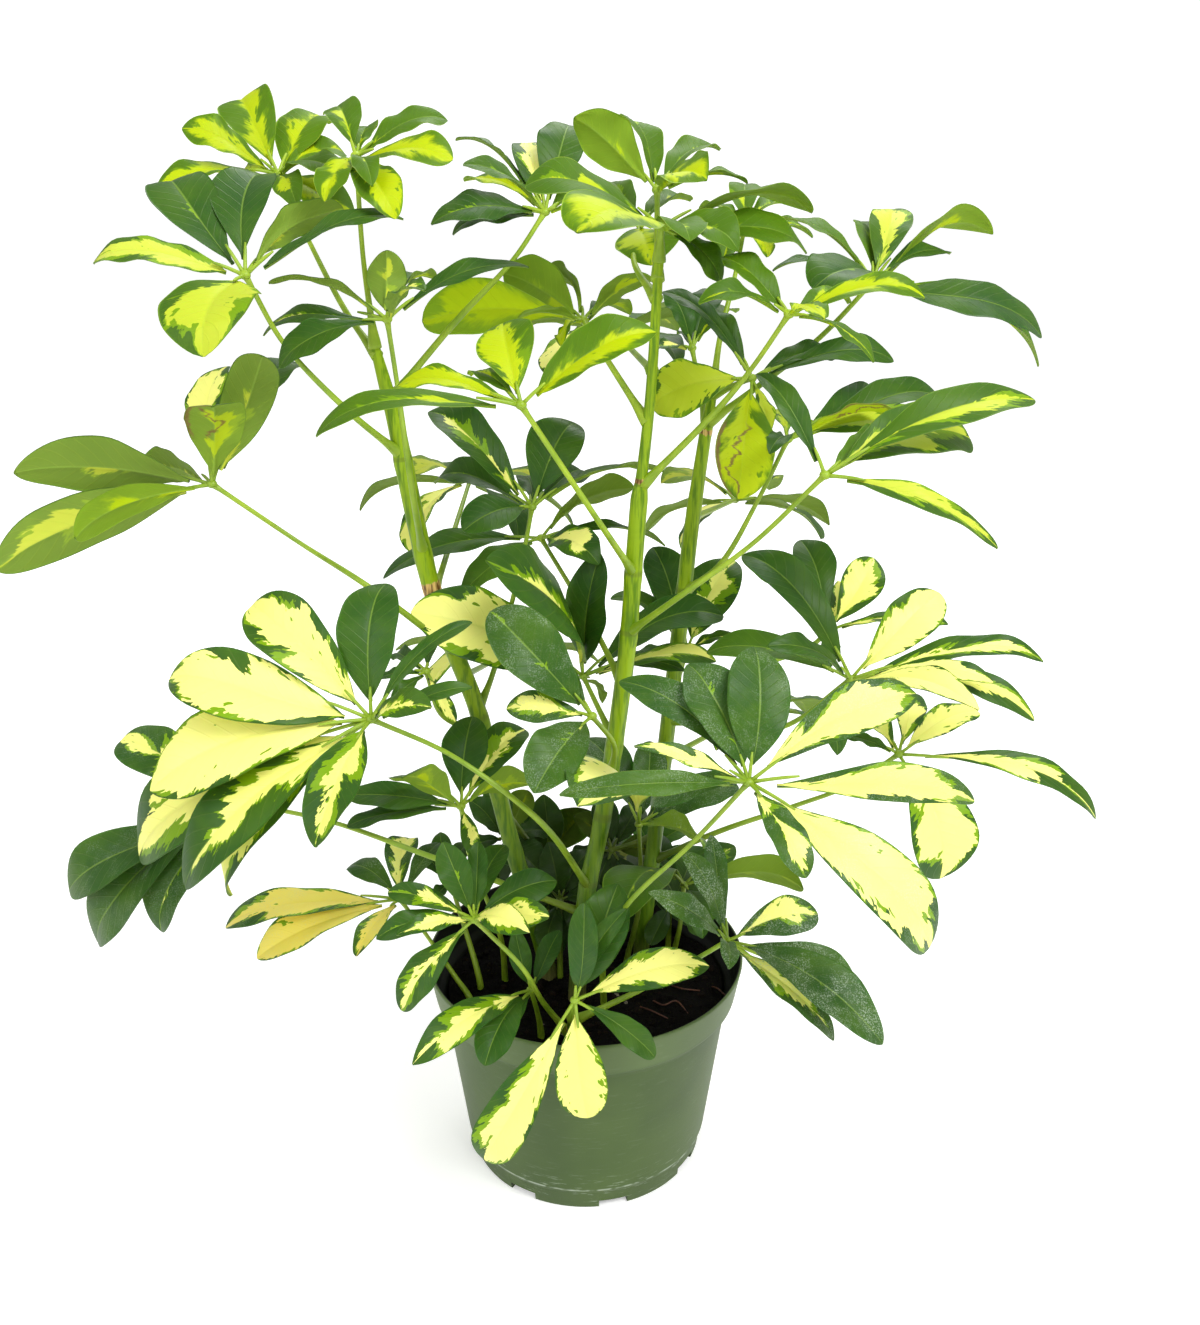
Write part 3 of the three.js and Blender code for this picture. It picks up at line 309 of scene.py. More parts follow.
add_leaf(
    "leaf_low_left", "centre", (583, 914), [(418, 852), (332, 822)], (238, 802, 58), 0.5,
    "ddmvdv",
    (69, 890, 2, 0.8), (91, 941, 14, 0.85), (159, 931, 30, 0.9), (122, 739, -25),
    (215, 720, -45, 0.9), (300, 745, -25, 0.7), dust_and_sheen=0.2,
)
add_leaf(
    "leaf_low_left_back", "soil", (470, 1002), [(456, 978), (430, 940)], (400, 899, -2), 0.45,
    "nandvd",
    (224, 924, 5, 0.65), (257, 958, 22, 0.7), (356, 956, 38, 0.8), (349, 865, -28, 0.9),
    (412, 836, -42), (439, 842, -25, 0.8), dust_and_sheen=0.35,
)
add_leaf(
    "leaf_front_round", "shoot", (572, 1036), [(545, 1005), (520, 965)], (474, 919, 92), 0.8,
    "ddddvcvmcv",
    (443, 842, -8), (478, 842, -12, 0.8), (505, 845, -28), (556, 880, -4, 1.1),
    (549, 917, 10, 1.1), (528, 931, 22, 0.9), (388, 892, -2, 0.7), (376, 938, 8, 0.7),
    (397, 934, 26, 0.6), (400, 1010, 14, 0.8),
)
add_leaf(
    "leaf_front_low", "soil", (541, 1036), [(538, 1015)], (531, 990, 66), 0.6,
    "vdddd",
    (413, 1063, 42, 0.6), (485, 1064, 38), (515, 930, -15, 0.9), (560, 930, -25, 0.9),
    (505, 1036, 22, 0.6),
)
add_leaf(
    "leaf_front_hanging", "shoot", (573, 1018), [], (575, 1000, 82), 0.6,
    "ceddddc",
    (483, 1163, 22, 0.7, 0.3), (588, 1118, 22, 1.15, 0.5), (584, 905, -10, 0.75),
    (618, 884, -28, 1.1), (626, 909, -8, 0.5), (655, 1057, 16, 0.7), (709, 966, -12, 0.75),
)
add_leaf(
    "leaf_front_right", "shoot", (573, 1022), [(650, 985)], (727, 941, 82), 0.7,
    "ddddvddv",
    (685, 852, -14, 0.7), (711, 835, -24, 0.6), (649, 892, 4, 0.6), (730, 966, 26, 0.8),
    (818, 914, -6, 1.1), (860, 990, 8, 0.75), (883, 1044, 24, 0.8), (835, 1039, 32, 0.6),
    dust_and_sheen=0.7,
)
add_leaf(
    "leaf_front_big_right", "soil", (604, 1012), [(604, 960), (627, 905), (690, 845)],
    (749, 782, 118), 0.6,
    "dddvoccevd",
    (756, 645, -34, 1.3), (690, 662, -28, 1.25), (620, 680, -18, 0.6), (635, 745, 4, 0.4),
    (560, 793, 18, 0.4), (916, 692, -14, 0.72), (976, 798, 2, 0.5), (934, 946, 30, 0.85),
    (806, 878, 36, 0.85), (648, 800, -26, 0.7, 0.3), dust_and_sheen=0.35,
)
add_leaf(
    "leaf_right_high", "right", (667, 720), [(775, 729)], (851, 679, 45), 0.4,
    "devcvedo",
    (746, 552, -32, 0.8), (940, 593, -30), (1044, 659, 2, 0.4), (993, 681, 24, 0.5),
    (1035, 719, 16, 0.45), (979, 708, 40, 0.6), (769, 645, 22, 0.6), (707, 649, -14, 0.7),
)
add_leaf(
    "leaf_right_low", "right", (654, 858), [(720, 831), (797, 805), (848, 786)],
    (899, 754, 35), 0.5,
    "vcecvd",
    (1098, 816, 5, 0.38), (942, 878, 34, 1.6), (979, 712, -28, 0.8), (868, 716, -35, 0.8),
    (905, 690, -45, 0.9), (838, 735, -14, 0.6),
)
add_leaf(
    "leaf_right_top", "right", (706, 424), [(816, 341)], (873, 282, -25), 0,
    "ddggxdgdg",
    (818, 280, 42, 1.6, 0.6), (773, 268, 12, 0.85), (780, 217, -28, 0.8), (856, 222, -42, 0.8),
    (893, 209, -46), (950, 253, -32, 0.8), (990, 229, -42, 0.65, -0.8), (1042, 337, 5, 0.9, 0.7),
    (1041, 363, -18, 0.8, 0.3),
)
add_leaf(
    "leaf_right_bright", "centre", (642, 488), [(718, 409), (752, 368)], (789, 314, 50), 0.15,
    "gggygy",
    (722, 257, -18, 1.2, 0.5), (700, 300, 18, 0.8, 0.3), (849, 301, -24, 0.9, 0.3),
    (925, 296, -2, 0.6, 0.5), (875, 359, 26, 0.6), (824, 318, 32),
)
add_leaf(
    "leaf_crown", "centre", (660, 246), [], (661, 227, 28), 0.1,
    "gyggggg",
    (527, 180, 16, 1, 0.3), (577, 232, 34, 1.8, 1.1), (690, 241, 34, 1.5, 0.6),
    (738, 245, 28, 1.5, 0.6), (722, 282, 8, 1.2, 0.6), (808, 250, 2, 1.1, 0.5),
    (812, 208, -16, 1.2, -0.6),
)
add_leaf(
    "leaf_crown_upper", "centre", (658, 290), [], (657, 190, 10), 0.2,
    "ggygg",
    (575, 116, -20, 1.3, -1.2), (622, 118, -34, 1.2, -0.6), (706, 176, 22, 1.8, 0.8),
    (719, 147, -34, 0.9), (748, 181, -8, 0.8),
)
add_leaf(
    "leaf_crown_behind", "centre", (655, 304), [(634, 262)], (640, 224, -22), 0.2,
    "ygggy",
    (652, 262, 20, 2.6, 1.2), (584, 196, -30, 1.1), (606, 182, -38, 1.1), (690, 200, -34, 1.1),
    (565, 214, 2, 0.9),
)
add_leaf(
    "leaf_top_middle", "left", (396, 400), [(457, 320), (513, 260)], (545, 212, -10), 0,
    "doyddvdgg",
    (457, 137, -24, 0.4), (464, 163, 14, 0.8, 0.5), (464, 180, -20, 0.9, 0.5),
    (431, 222, 18, 1, 1), (452, 233, 4, 0.9, 1), (527, 141, -32, 1.1, 0.5),
    (569, 123, -36, 1.1, 0.4), (606, 196, -28, 1, 0.3), (594, 214, 16, 0.8),
)
add_leaf(
    "leaf_back_top", "right", (713, 390), [(720, 338), (736, 271)], (745, 225, -78), 0,
    "gygggg",
    (813, 237, 12, 1, 0.4), (768, 254, 28, 1, 0.4), (722, 268, 22), (700, 205, -18),
    (745, 185, -38), (795, 205, -28),
)
add_leaf(
    "leaf_middle_bright", "centre", (633, 573), [(597, 519)], (521, 405, 85), 0.15,
    "gyyyg",
    (315, 434, 10, 0.6, 0.3), (392, 390, -22, 0.6, 0.3), (503, 323, -32, 1.5, 0.9),
    (656, 332, -4, 1, 0.8), (470, 372, -28, 0.7, 0.4),
)
add_leaf(
    "leaf_middle_back", "centre", (648, 426), [(601, 350)], (583, 320, -18), -0.3,
    "yguguyu",
    (422, 321, 6, 1, -0.9), (508, 272, -24, 1.6, -0.9), (549, 268, -34, 0.9, -0.5),
    (509, 326, 30, 0.7), (651, 277, -18, 0.9, -0.5), (560, 345, 28, 0.6), (630, 312, -36, 0.8),
)
add_leaf(
    "leaf_centre_dark", "left", (481, 715), [(492, 676), (525, 546)], (532, 507, -8), 0.25,
    "mdddddo",
    (430, 408, -18, 0.95, 0.4), (575, 420, -22, 1.5, 0.4), (434, 479, -28, 0.8, 0.3),
    (463, 531, 32, 1.3, 0.7), (522, 477, -36, 0.8), (584, 469, -28, 1, 0.2),
    (664, 471, -22, 0.9, -0.6),
)
add_leaf(
    "leaf_centre_low", "centre", (622, 688), [(590, 620)], (541, 538, -28), 0.2,
    "odvod",
    (634, 487, -24, 1.1, -0.9), (665, 545, -20, 0.5), (597, 560, 26, 1.4, 0.8),
    (461, 594, 26, 0.9, 0.4), (383, 578, 4, 0.7, 0.4),
)
add_leaf(
    "leaf_centre_broad", "centre", (616, 737), [], (583, 676, 0), 0.6,
    "mddvdde",
    (486, 560, 26, 1.15, 0.3), (600, 553, -18), (721, 612, -30, 0.9), (716, 660, -22, 0.5),
    (686, 671, -14, 0.5), (603, 702, -30, 0.6), (411, 612, 4, 1.15, 0.8),
)
# This leaf's pale specks, and the lighter green of its b leaflets, are a painted sheen.
add_leaf(
    "leaf_centre_front", "centre", (617, 775), [(614, 746)], (592, 716, 58), 0.6,
    "bvbb",
    (491, 611, -4, 1.15, 0.4), (507, 707, 8, 1, 0.4), (534, 793, 26, 1.3, 0.4),
    (560, 664, -30, 0.6), dust_and_sheen=0.4,
)
add_leaf(
    "leaf_inner_left", "soil", (505, 980), [(500, 935), (469, 854)], (461, 806, 42), 0.35,
    "dvuuddv",
    (472, 716, -25, 1.4, 0.5), (524, 727, -28, 1.1, 0.5), (532, 782, -10, 1.5, -1.8),
    (402, 777, 20, 1.5, -1.9), (345, 795, -6, 0.75, 0.3), (347, 826, 4, 0.5),
    (474, 858, 22, 0.8, 0.5),
)
add_leaf(
    "leaf_inner_right", "soil", (625, 972), [(640, 900)], (639, 824, 8), 0.3,
    "ddduvc",
    (650, 741, -30, 1.1, 0.5), (587, 738, -34, 1.1, 0.5), (738, 785, -4, 1.1, 0.6),
    (706, 846, 28, 1.3, -1.9), (690, 800, -26, 0.9, 0.4), (580, 800, 20, 0.8, 0.4), dust_and_sheen=0.4,
)
add_leaf(
    "leaf_inner_far_left", "left", (482, 738), [(443, 716)], (426, 671, 30), 0.5,
    "vdddd",
    (455, 722, 12, 0.7, 0.3), (396, 652, -25, 0.9, 0.3), (392, 702, 18, 0.8),
    (440, 628, -25, 0.9, 0.3), (378, 678, -5, 0.7),
)
add_leaf(
    "leaf_right_inner", "right", (713, 394), [], (752, 378, 0), 0.25,
    "sldddld",
    (738, 499, 32, 1.3, 0.9), (652, 402, 4, 1.5, 0.8), (705, 312, -30, 0.7), (834, 355, -15, 0.9),
    (894, 359, -10, 0.6), (766, 437, 10, 0.8), (661, 291, -36, 0.5, 0.4),
)
add_leaf(
    "leaf_behind_stem", "right", (706, 428), [], (692, 348, -55), 0.2,
    "ddgvd",
    (665, 291, -12, 1.1, 0.5), (690, 337, -35), (735, 308, -24), (650, 352, 8), (715, 290, -34),
)
add_leaf(
    "leaf_right_middle", "right", (685, 590), [(722, 562), (758, 500)], (788, 439, 12), 0.1,
    "sdlldd",
    (905, 418, 22, 1.1, -0.5), (940, 398, -24, 0.7), (937, 437, 8, 0.9, 0.4),
    (768, 412, -34, 0.9), (889, 402, -28, 0.9), (770, 450, 28, 0.8),
)
add_leaf(
    "leaf_right_long", "centre", (629, 632), [(676, 599), (751, 545)], (825, 475, 78), 0.25,
    "zxxgd",
    (1035, 400, -14, 0.6, 0.3), (998, 548, 20, 0.5, 0.4), (970, 438, -34, 1, 0.4),
    (892, 443, -28, 0.8, -0.4), (757, 373, -28, 0.6, 0.3),
)
add_leaf(
    "leaf_right_shoulder", "right", (673, 688), [(809, 647)], (828, 631, -12), 0.35,
    "odvcvd",
    (744, 553, -18, 0.8, 0.3), (800, 540, -34, 1, 0.4), (874, 557, -22, 1.2, 0.5),
    (850, 590, -40, 0.9), (948, 622, 12, 0.5), (826, 668, 30, 0.8),
)
add_leaf(
    "leaf_right_back", "right", (670, 708), [], (687, 650, -48), 0.5,
    "vdmod",
    (734, 561, -8, 1.4, 0.5), (653, 547, -18, 1.1, 0.3), (736, 637, 5, 0.8, 0.3),
    (613, 596, 8, 0.8), (625, 660, 14, 0.7),
)
add_leaf(
    "leaf_low_right_back", "soil", (672, 965), [(680, 925)], (684, 885, 0), 0.3,
    "ududm",
    (804, 886, 8, 0.9, -1.7), (703, 935, 30, 0.9), (622, 912, 12, 0.8, -0.6),
    (650, 834, -36, 0.9, 0.4), (735, 846, -30, 1.1, 0.4),
)
add_leaf(
    "leaf_rear_low_left", "left", (500, 800), [], (545, 862, -42), 0.6,
    "ddouddd",
    (507, 840, -8, 1.5), (509, 810, -20, 1.4), (544, 796, -25, 1.3), (590, 808, -12, 1.5, -2),
    (592, 884, 18, 1.6), (558, 955, 30, 0.9), (512, 915, 14, 1.4),
)
add_leaf(
    "leaf_rear_low_right", "right", (659, 800), [], (652, 850, -54), 0.55,
    "ddddddu",
    (606, 842, -14, 1.3), (632, 812, -28, 1.3), (690, 826, -22, 1.3), (716, 872, -6, 1.1),
    (690, 925, 20, 1.2), (628, 925, 24, 1.3), (604, 880, 14, 1, 0.3),
)

# %% Leaves at the unseen back
BACK_REACH, BACK_COUNT = 62.0, 6
back_seed = 20


def back_chance(low, high):
    """The small repeatable random numbers of the frame's own source, so both grow alike."""
    global back_seed
    back_seed = (back_seed * 16807) % 2147483647
    return low + (high - low) * back_seed / 2147483647


def add_back_leaf(name, stem, start, hub):
    """Leaflets spread evenly round the hub, drooping a little."""
    blades = []
    for i in range(BACK_COUNT):
        turn = 2 * math.pi * (i + back_chance(-0.2, 0.2)) / BACK_COUNT
        reach = BACK_REACH * back_chance(0.8, 1.1)
        out = unit(np.array([math.cos(turn), math.sin(turn), back_chance(-0.45, 0.1)]))
        x, y, nearer = picture_of(seen_at(*hub) + out * reach)
        blades.append((x, y, nearer - hub[2]))
    add_leaf(name, stem, start, [], hub, -0.2, "dmvdcd", *blades)


add_back_leaf("leaf_rear_high_left", "left", (433, 596), (470, 480, -105))
add_back_leaf("leaf_rear_high_right", "right", (694, 515), (735, 500, -115))
add_back_leaf("leaf_rear_crown", "centre", (652, 372), (612, 330, -120))
add_back_leaf("leaf_rear_middle_left", "left", (462, 672), (505, 655, -110))
add_back_leaf("leaf_rear_middle_right", "right", (664, 757), (765, 705, -118))

# %% Shaded leaves deep inside, in the scene alone
add_leaf(
    "inner_leaf_left", "left", (497, 812), [], (505, 838, -30), 0.6,
    "ddudddd",
    (470, 800, -8, 1.3), (492, 785, -18, 1.4), (528, 790, -20, 1.4, -2), (548, 832, -6, 1.4),
    (540, 872, 10, 1.5), (500, 885, 14, 1.4), (468, 850, 4, 1.2),
)
add_leaf(
    "inner_leaf_middle", "soil", (560, 975), [], (560, 900, -12), 0.6,
    "ddddddd",
    (520, 868, -12, 1.5), (548, 842, -20, 1.4), (590, 850, -16, 1.4), (606, 893, 0, 1.3),
    (590, 945, 18, 1.4), (545, 955, 20, 1.2), (518, 915, 6, 1.4),
)
add_leaf(
    "inner_leaf_centre", "right", (655, 840), [], (612, 850, -35), 0.6,
    "udduddd",
    (575, 815, -12, 1.4, -2), (600, 795, -20, 1.3), (640, 805, -18, 1.3), (655, 850, -4, 1.4, -2),
    (640, 895, 12, 1.3), (598, 900, 14, 1.4), (570, 860, -2, 1.3),
)
add_leaf(
    "inner_leaf_right", "soil", (668, 950), [], (670, 905, -22), 0.6,
    "uddddd",
    (628, 890, -4, 1, -1.9), (650, 865, -16, 1.3), (690, 862, -18, 1.4), (716, 895, -2, 1.3),
    (706, 935, 14, 1.2), (650, 945, 14, 1.2),
)
add_leaf(
    "inner_leaf_far_left", "soil", (480, 985), [], (450, 880, -20), 0.6,
    "dddvd",
    (420, 850, -8, 1.2), (440, 832, -16, 1.2), (470, 842, -14, 1.3), (485, 880, 0, 1.2),
    (430, 905, 10, 1.2),
)
is_inner = np.array([leaf["name"].startswith("inner_") for leaf in LEAVES])
print(len(LEAVES), "leaves with", sum(len(leaf["blades"]) for leaf in LEAVES), "leaflets")

# %% [markdown]
# ## Easing the leaves apart
#
# The table's points were given one by one, so here and there a leaflet runs through its neighbour.
# Real leaves push each other aside. This step does the same: where two of them are seen in one
# place at nearly one depth, both move along their sight lines, one nearer and one further, which
# leaves the picture as it was. The frame's solids were eased by the same sums.

# %% Stems as courses
HOLE_DEPTH, FOOT_RISE = 9.0, 2.0


def soil_foot(place):
    """Two points that start a course in its hole in the soil, straight up."""
    flat = place * [1, 1, 0]
    return [flat + UPWARD * (SOIL_LEVEL - HOLE_DEPTH), flat + UPWARD * (SOIL_LEVEL + FOOT_RISE)]


def grow_stem(rows, fineness=2):
    points = soil_foot(on_soil(*rows[0][:2])) + [seen_at(*row[:3]) for row in rows[1:]]
    radii = [rows[0][3]] + [row[3] for row in rows]
    return smooth_course(points, radii, fineness * len(points))


stem_courses = {name: grow_stem(rows) for name, rows in STEMS.items()}


def on_stem(name, x, y):
    """The point in the middle of a stem that is seen nearest to (x, y)."""
    points = stem_courses[name][0]
    parts = np.arange(0, 1, 0.25)[None, :, None]
    fine = (points[:-1, None] * (1 - parts) + points[1:, None] * parts).reshape(-1, 3)
    seen = picture_of(fine)
    return fine[np.argmin(np.hypot(seen[:, 0] - x, seen[:, 1] - y))]


# %% Knobs: the depths that may be eased
HUB_EASE = 0.3
knobs, leaflets = [], []


def knob(x, y, nearer, ease=1.0):
    knobs.append((x, y, nearer, ease))
    return len(knobs) - 1


for number, leaf in enumerate(LEAVES):
    stem, start = leaf["stem"], leaf["start"]
    leaf["hub_knob"] = knob(*leaf["hub"], HUB_EASE)
    leaf["base"] = on_soil(*start) if stem == "soil" else on_stem(stem, *start)
    hub_nearer, base_nearer = leaf["hub"][2], -leaf["base"][1]
    leaf["bends"] = []
    for i, (x, y) in enumerate(leaf["via"]):
        part = (i + 1) / (len(leaf["via"]) + 1)
        leaf["bends"].append(knob(x, y, base_nearer + (hub_nearer - base_nearer) * part))
    for i, (x, y, nearer, *rest) in enumerate(leaf["blades"]):
        tip_knob = knob(x, y, hub_nearer + nearer)
        leaflets.append((leaf["hub_knob"], tip_knob, number, i, *rest, *(1.0, 0.0)[len(rest):]))
knob_x, knob_y, knob_nearer, knob_ease = np.array(knobs, float).T
blade_hub, blade_tip, blade_leaf, blade_index = np.array([row[:4] for row in leaflets]).T
blade_breadth, blade_turn = np.array([row[4:] for row in leaflets]).T
print(len(knob_x), "knobs")

# %% The middle surface of every leaflet at once
BLADE_BREADTH, BLADE_FOLD, BLADE_ARCH, BLADE_WAVE = 0.36, 0.14, 0.13, 0.8
LEAST_FACING = 0.12
OUTLINE = np.array([(0, 0), (0.12, 0.04), (0.36, 0.8), (0.74, 1), (1, 0)])
leaf_facing = np.array([leaf["facing"] for leaf in LEAVES])


def blade_frames(places):
    """Each leaflet's hub, direction, length, up, side and greatest half breadth."""
    hub, tip = places[blade_hub], places[blade_tip]
    along = tip - hub
    length = np.linalg.norm(along, axis=1)
    along = along / length[:, None]
    bends = [places[leaf["bends"][-1]] if leaf["bends"] else leaf["base"] for leaf in LEAVES]
    hubs = places[[leaf["hub_knob"] for leaf in LEAVES]]
    rising = unit(hubs - np.array(bends))[blade_leaf]
    facing = (leaf_facing[blade_leaf] + blade_turn + LEAST_FACING)[:, None]
    up = UPWARD * 0.7 + rising * 0.3 + TO_VIEWER * facing
    up = unit(up - along * np.sum(up * along, 1)[:, None])
    side = np.cross(along, up)
    half = BLADE_BREADTH * length * blade_breadth / 2
    return hub, along, length, up, side, half


def coarse_surface(frames, t, s):
    """Points of every leaflet at paired t and s: leaflets by samples by 3."""
    hub, along, length, up, side, half = frames
    outline = np.interp(t, OUTLINE[:, 0], OUTLINE[:, 1])
    wide = outline[None] * half[:, None]
    raised = 4 * t * (1 - t) * BLADE_ARCH * length[:, None]
    folded = np.abs(s) * wide * BLADE_FOLD * 2
    waved = s * outline * BLADE_WAVE * np.sin(9 * t[None] + blade_index[:, None])
    return (
        hub[:, None]
        + along[:, None] * (length[:, None] * t)[..., None]
        + side[:, None] * (s * wide)[..., None]
        + up[:, None] * (raised + folded + waved)[..., None]
    )


# %% The way of a petiole
PETIOLE_FOOT, PETIOLE_TOP = 2.0, 1.25


def petiole_points(leaf, places):
    points = [leaf["base"], *(places[k] for k in leaf["bends"]), places[leaf["hub_knob"]]]
    shares = [min(1, 2 * i / len(points)) for i in range(len(points))]
    radii = [PETIOLE_FOOT + (PETIOLE_TOP - PETIOLE_FOOT) * share for share in shares]
    if leaf["stem"] == "soil":
        return soil_foot(leaf["base"]) + points[1:], [PETIOLE_FOOT, *radii]
    return points, radii


# %% Samples of every strand
SAMPLE_GAP, FREE_FOOT = 4, 12
sample_t, sample_s = [], []
for k in range(11):
    t = 0.1 + 0.09 * k
    wide = np.interp(t, OUTLINE[:, 0], OUTLINE[:, 1])
    for s in (-1, -0.5, 0, 0.5, 1) if wide > 0.2 else (0,):
        sample_t.append(t)
        sample_s.append(s)
sample_t, sample_s = np.array(sample_t), np.array(sample_s, float)


def stem_samples():
    seen, reach, strand = [], [], []
    for number, (points, radii) in enumerate(stem_courses.values()):
        for i in range(1, len(points)):
            for part in np.arange(0, 1, 0.2):
                x, y, nearer = picture_of(points[i - 1] * (1 - part) + points[i] * part)
                for s in (-1, 0, 1):
                    seen.append((x + s * radii[i] * 2.1, y, nearer))
                    reach.append(radii[i])
                    strand.append(number)
    return np.array(seen), np.array(reach), np.array(strand)


def petiole_samples(places):
    """Samples of the petioles, each with the two knobs that it follows and by how much."""
    seen, reach, owner, follow, share = [], [], [], [], []
    for number, leaf in enumerate(LEAVES):
        points, radii = petiole_points(leaf, places)
        course, sizes = smooth_course(points, radii, len(points) + 1)
        own = [*leaf["bends"], leaf["hub_knob"]]
        for i in range(1, len(course)):
            gap = course[i] - course[i - 1]
            steps = max(1, int(np.linalg.norm(gap) / SAMPLE_GAP + 0.5))
            for k in range(1, steps + 1):
                middle = course[i - 1] + gap * k / steps
                if np.linalg.norm(middle - leaf["base"]) < FREE_FOOT:
                    continue
                place = (i - 1 + k / steps) / (len(course) - 1) * len(own)
                lower, part = int(place) - 1, place - int(place)
                seen.append(middle)
                reach.append(sizes[i])
                owner.append(number)
                follow.append((own[max(lower, 0)], own[min(lower + 1, len(own) - 1)]))
                share.append((1 - part if lower >= 0 else 0, part if lower + 1 < len(own) else 0))
    follow, share = np.array(follow), np.array(share, float)
    return picture_of(np.array(seen)), np.array(reach), np.array(owner), follow, share


# %% Ease
EASE_ROUNDS, EASE_GAP, EASE_SAME, EASE_FREE = 90, 3.4, 1.8, 0.4
EASE_REACH, EASE_STEP, EASE_STRENGTH, LEAST_WEIGHT = 9.0, 3.0, 0.55, 0.2
CELL_ROW = 1000


def close_pairs(seen):
    """Index pairs of samples whose sight lines are within EASE_REACH of each other."""
    cell = np.floor(seen[:, :2] / EASE_REACH).astype(int) + 100
    key = cell[:, 0] + CELL_ROW * cell[:, 1]
    order = np.argsort(key, kind="stable")
    ranked = key[order]
    firsts, seconds = [], []
    for step in (0, 1, CELL_ROW - 1, CELL_ROW, CELL_ROW + 1):
        low = np.searchsorted(ranked, ranked + step, "left")
        high = np.searchsorted(ranked, ranked + step, "right")
        if step == 0:
            low = np.maximum(low, np.arange(len(ranked)) + 1)
        count = np.maximum(high - low, 0)
        a = np.repeat(np.arange(len(ranked)), count)
        b = np.arange(count.sum()) + np.repeat(low - np.cumsum(count) + count, count)
        firsts.append(order[a])
        seconds.append(order[b])
    a, b = np.concatenate(firsts), np.concatenate(seconds)
    near = np.hypot(*(seen[a, :2] - seen[b, :2]).T) <= EASE_REACH
    return a[near], b[near]


def number_strands():
    """Strands are numbered as in the frame's source: stems, then each leaf's petiole and blades."""
    petiole_strand, blade_strand = np.zeros(len(LEAVES), int), np.zeros(len(blade_hub), int)
    next_strand = len(stem_courses)
    for number in range(len(LEAVES)):
        petiole_strand[number] = next_strand
        own = np.flatnonzero(blade_leaf == number)
        blade_strand[own] = next_strand + 1 + np.arange(len(own))
        next_strand += 1 + len(own)
    return petiole_strand, blade_strand, next_strand


def ease_apart():
    fixed_seen, fixed_reach, fixed_strand = stem_samples()
    fixed, count, blade_count = len(fixed_seen), len(sample_t), len(blade_hub)
    petiole_strand, blade_strand, strand_count = number_strands()
    owner_of = -1 - np.arange(strand_count)
    owner_of[petiole_strand], owner_of[blade_strand] = np.arange(len(LEAVES)), blade_leaf
    # The inner leaves give way to the others, which stay where the frame has them.
    inner_of = np.zeros(strand_count, bool)
    inner_of[petiole_strand], inner_of[blade_strand] = is_inner, is_inner[blade_leaf]
    blade_t = np.tile(sample_t, blade_count)
    blade_follow = np.repeat(np.stack([blade_hub, blade_tip], -1), count, axis=0)
    blade_share = np.stack([1 - blade_t, blade_t], -1)
    signs = np.zeros(strand_count * strand_count, int)
    left = 0
    for _ in range(EASE_ROUNDS):
        places = seen_at(knob_x, knob_y, knob_nearer)
        seen_p, reach_p, owner_p, follow_p, share_p = petiole_samples(places)
        surface = picture_of(coarse_surface(blade_frames(places), sample_t, sample_s))
        seen = np.concatenate([fixed_seen, seen_p, surface.reshape(-1, 3)])
        reach = np.concatenate([fixed_reach, reach_p, np.zeros(len(blade_t))])
        strand = np.concatenate(
            [fixed_strand, petiole_strand[owner_p], np.repeat(blade_strand, count)]
        )
        t_of = np.concatenate([np.zeros(fixed + len(seen_p)), blade_t])
        follow = np.concatenate([np.zeros((fixed, 2), int), follow_p, blade_follow])
        share = np.concatenate([np.zeros((fixed, 2)), share_p, blade_share])
        a, b = close_pairs(seen)
        a, b = np.where(strand[a] < strand[b], a, b), np.where(strand[a] < strand[b], b, a)
        same = owner_of[strand[a]] == owner_of[strand[b]]
        keep = (strand[a] != strand[b]) & ~(same & (np.minimum(t_of[a], t_of[b]) < EASE_FREE))
        a, b, same = a[keep], b[keep], same[keep]
        pair = strand[a] * strand_count + strand[b]
        depth = seen[a, 2] - seen[b, 2]
        kinds, place = np.unique(pair, return_inverse=True)
        in_front = np.bincount(place, depth) >= 0
        fresh = signs[kinds] == 0
        signs[kinds[fresh]] = np.where(in_front[fresh], 1, -1)
        need = np.where(same, EASE_SAME, EASE_GAP) + reach[a] + reach[b] - signs[pair] * depth
        ranked = np.lexsort((-need, place))
        worst = ranked[np.searchsorted(place[ranked], np.arange(len(kinds)))]
        worst = worst[need[worst] > 0]
        left = len(worst)
        if not left:
            break
        moves = np.zeros(len(knob_nearer))
        a, b, strength = a[worst], b[worst], np.minimum(need[worst], EASE_STEP) * EASE_STRENGTH
        inner_a, inner_b = inner_of[strand[a]], inner_of[strand[b]]
        free_a = (share[a].sum(1) > 0) & (inner_a | ~inner_b)
        free_b = (share[b].sum(1) > 0) & (inner_b | ~inner_a)
        strength = strength * signs[pair[worst]] / np.maximum(free_a.astype(int) + free_b, 1)
        for end, way, free in ((a, 1, free_a), (b, -1, free_b)):
            weight, ease = share[end], knob_ease[follow[end]]
            total = np.maximum((ease * weight * weight).sum(1), LEAST_WEIGHT)
            change = (way * strength * free / total)[:, None] * ease * weight
            np.add.at(moves, follow[end].ravel(), change.ravel())
        knob_nearer[:] += moves
    return left


still_close = ease_apart()
places = seen_at(knob_x, knob_y, knob_nearer)
print("eased, pairs still close:", still_close)

# %% [markdown]
# ## Finishes of the plant
#
# A variegated leaf isn't painted at random. The pale middle spreads out from the midrib along the
# side veins, so its border is jagged and feathered, and a band of mid green lies between it and
# the dark green. Each leaflet's mesh carries how far along and across it a point is, and the
# shader builds the border from those two and some noise. The pattern is one node group, used by
# the upper and the lower face with other colours.

# %% Node helpers
def put(tree, socket, value):
    """Feeds a socket from another one, or sets it to a plain value."""
    if isinstance(value, bpy.types.NodeSocket):
        tree.links.new(value, socket)
    else:
        socket.default_value = value


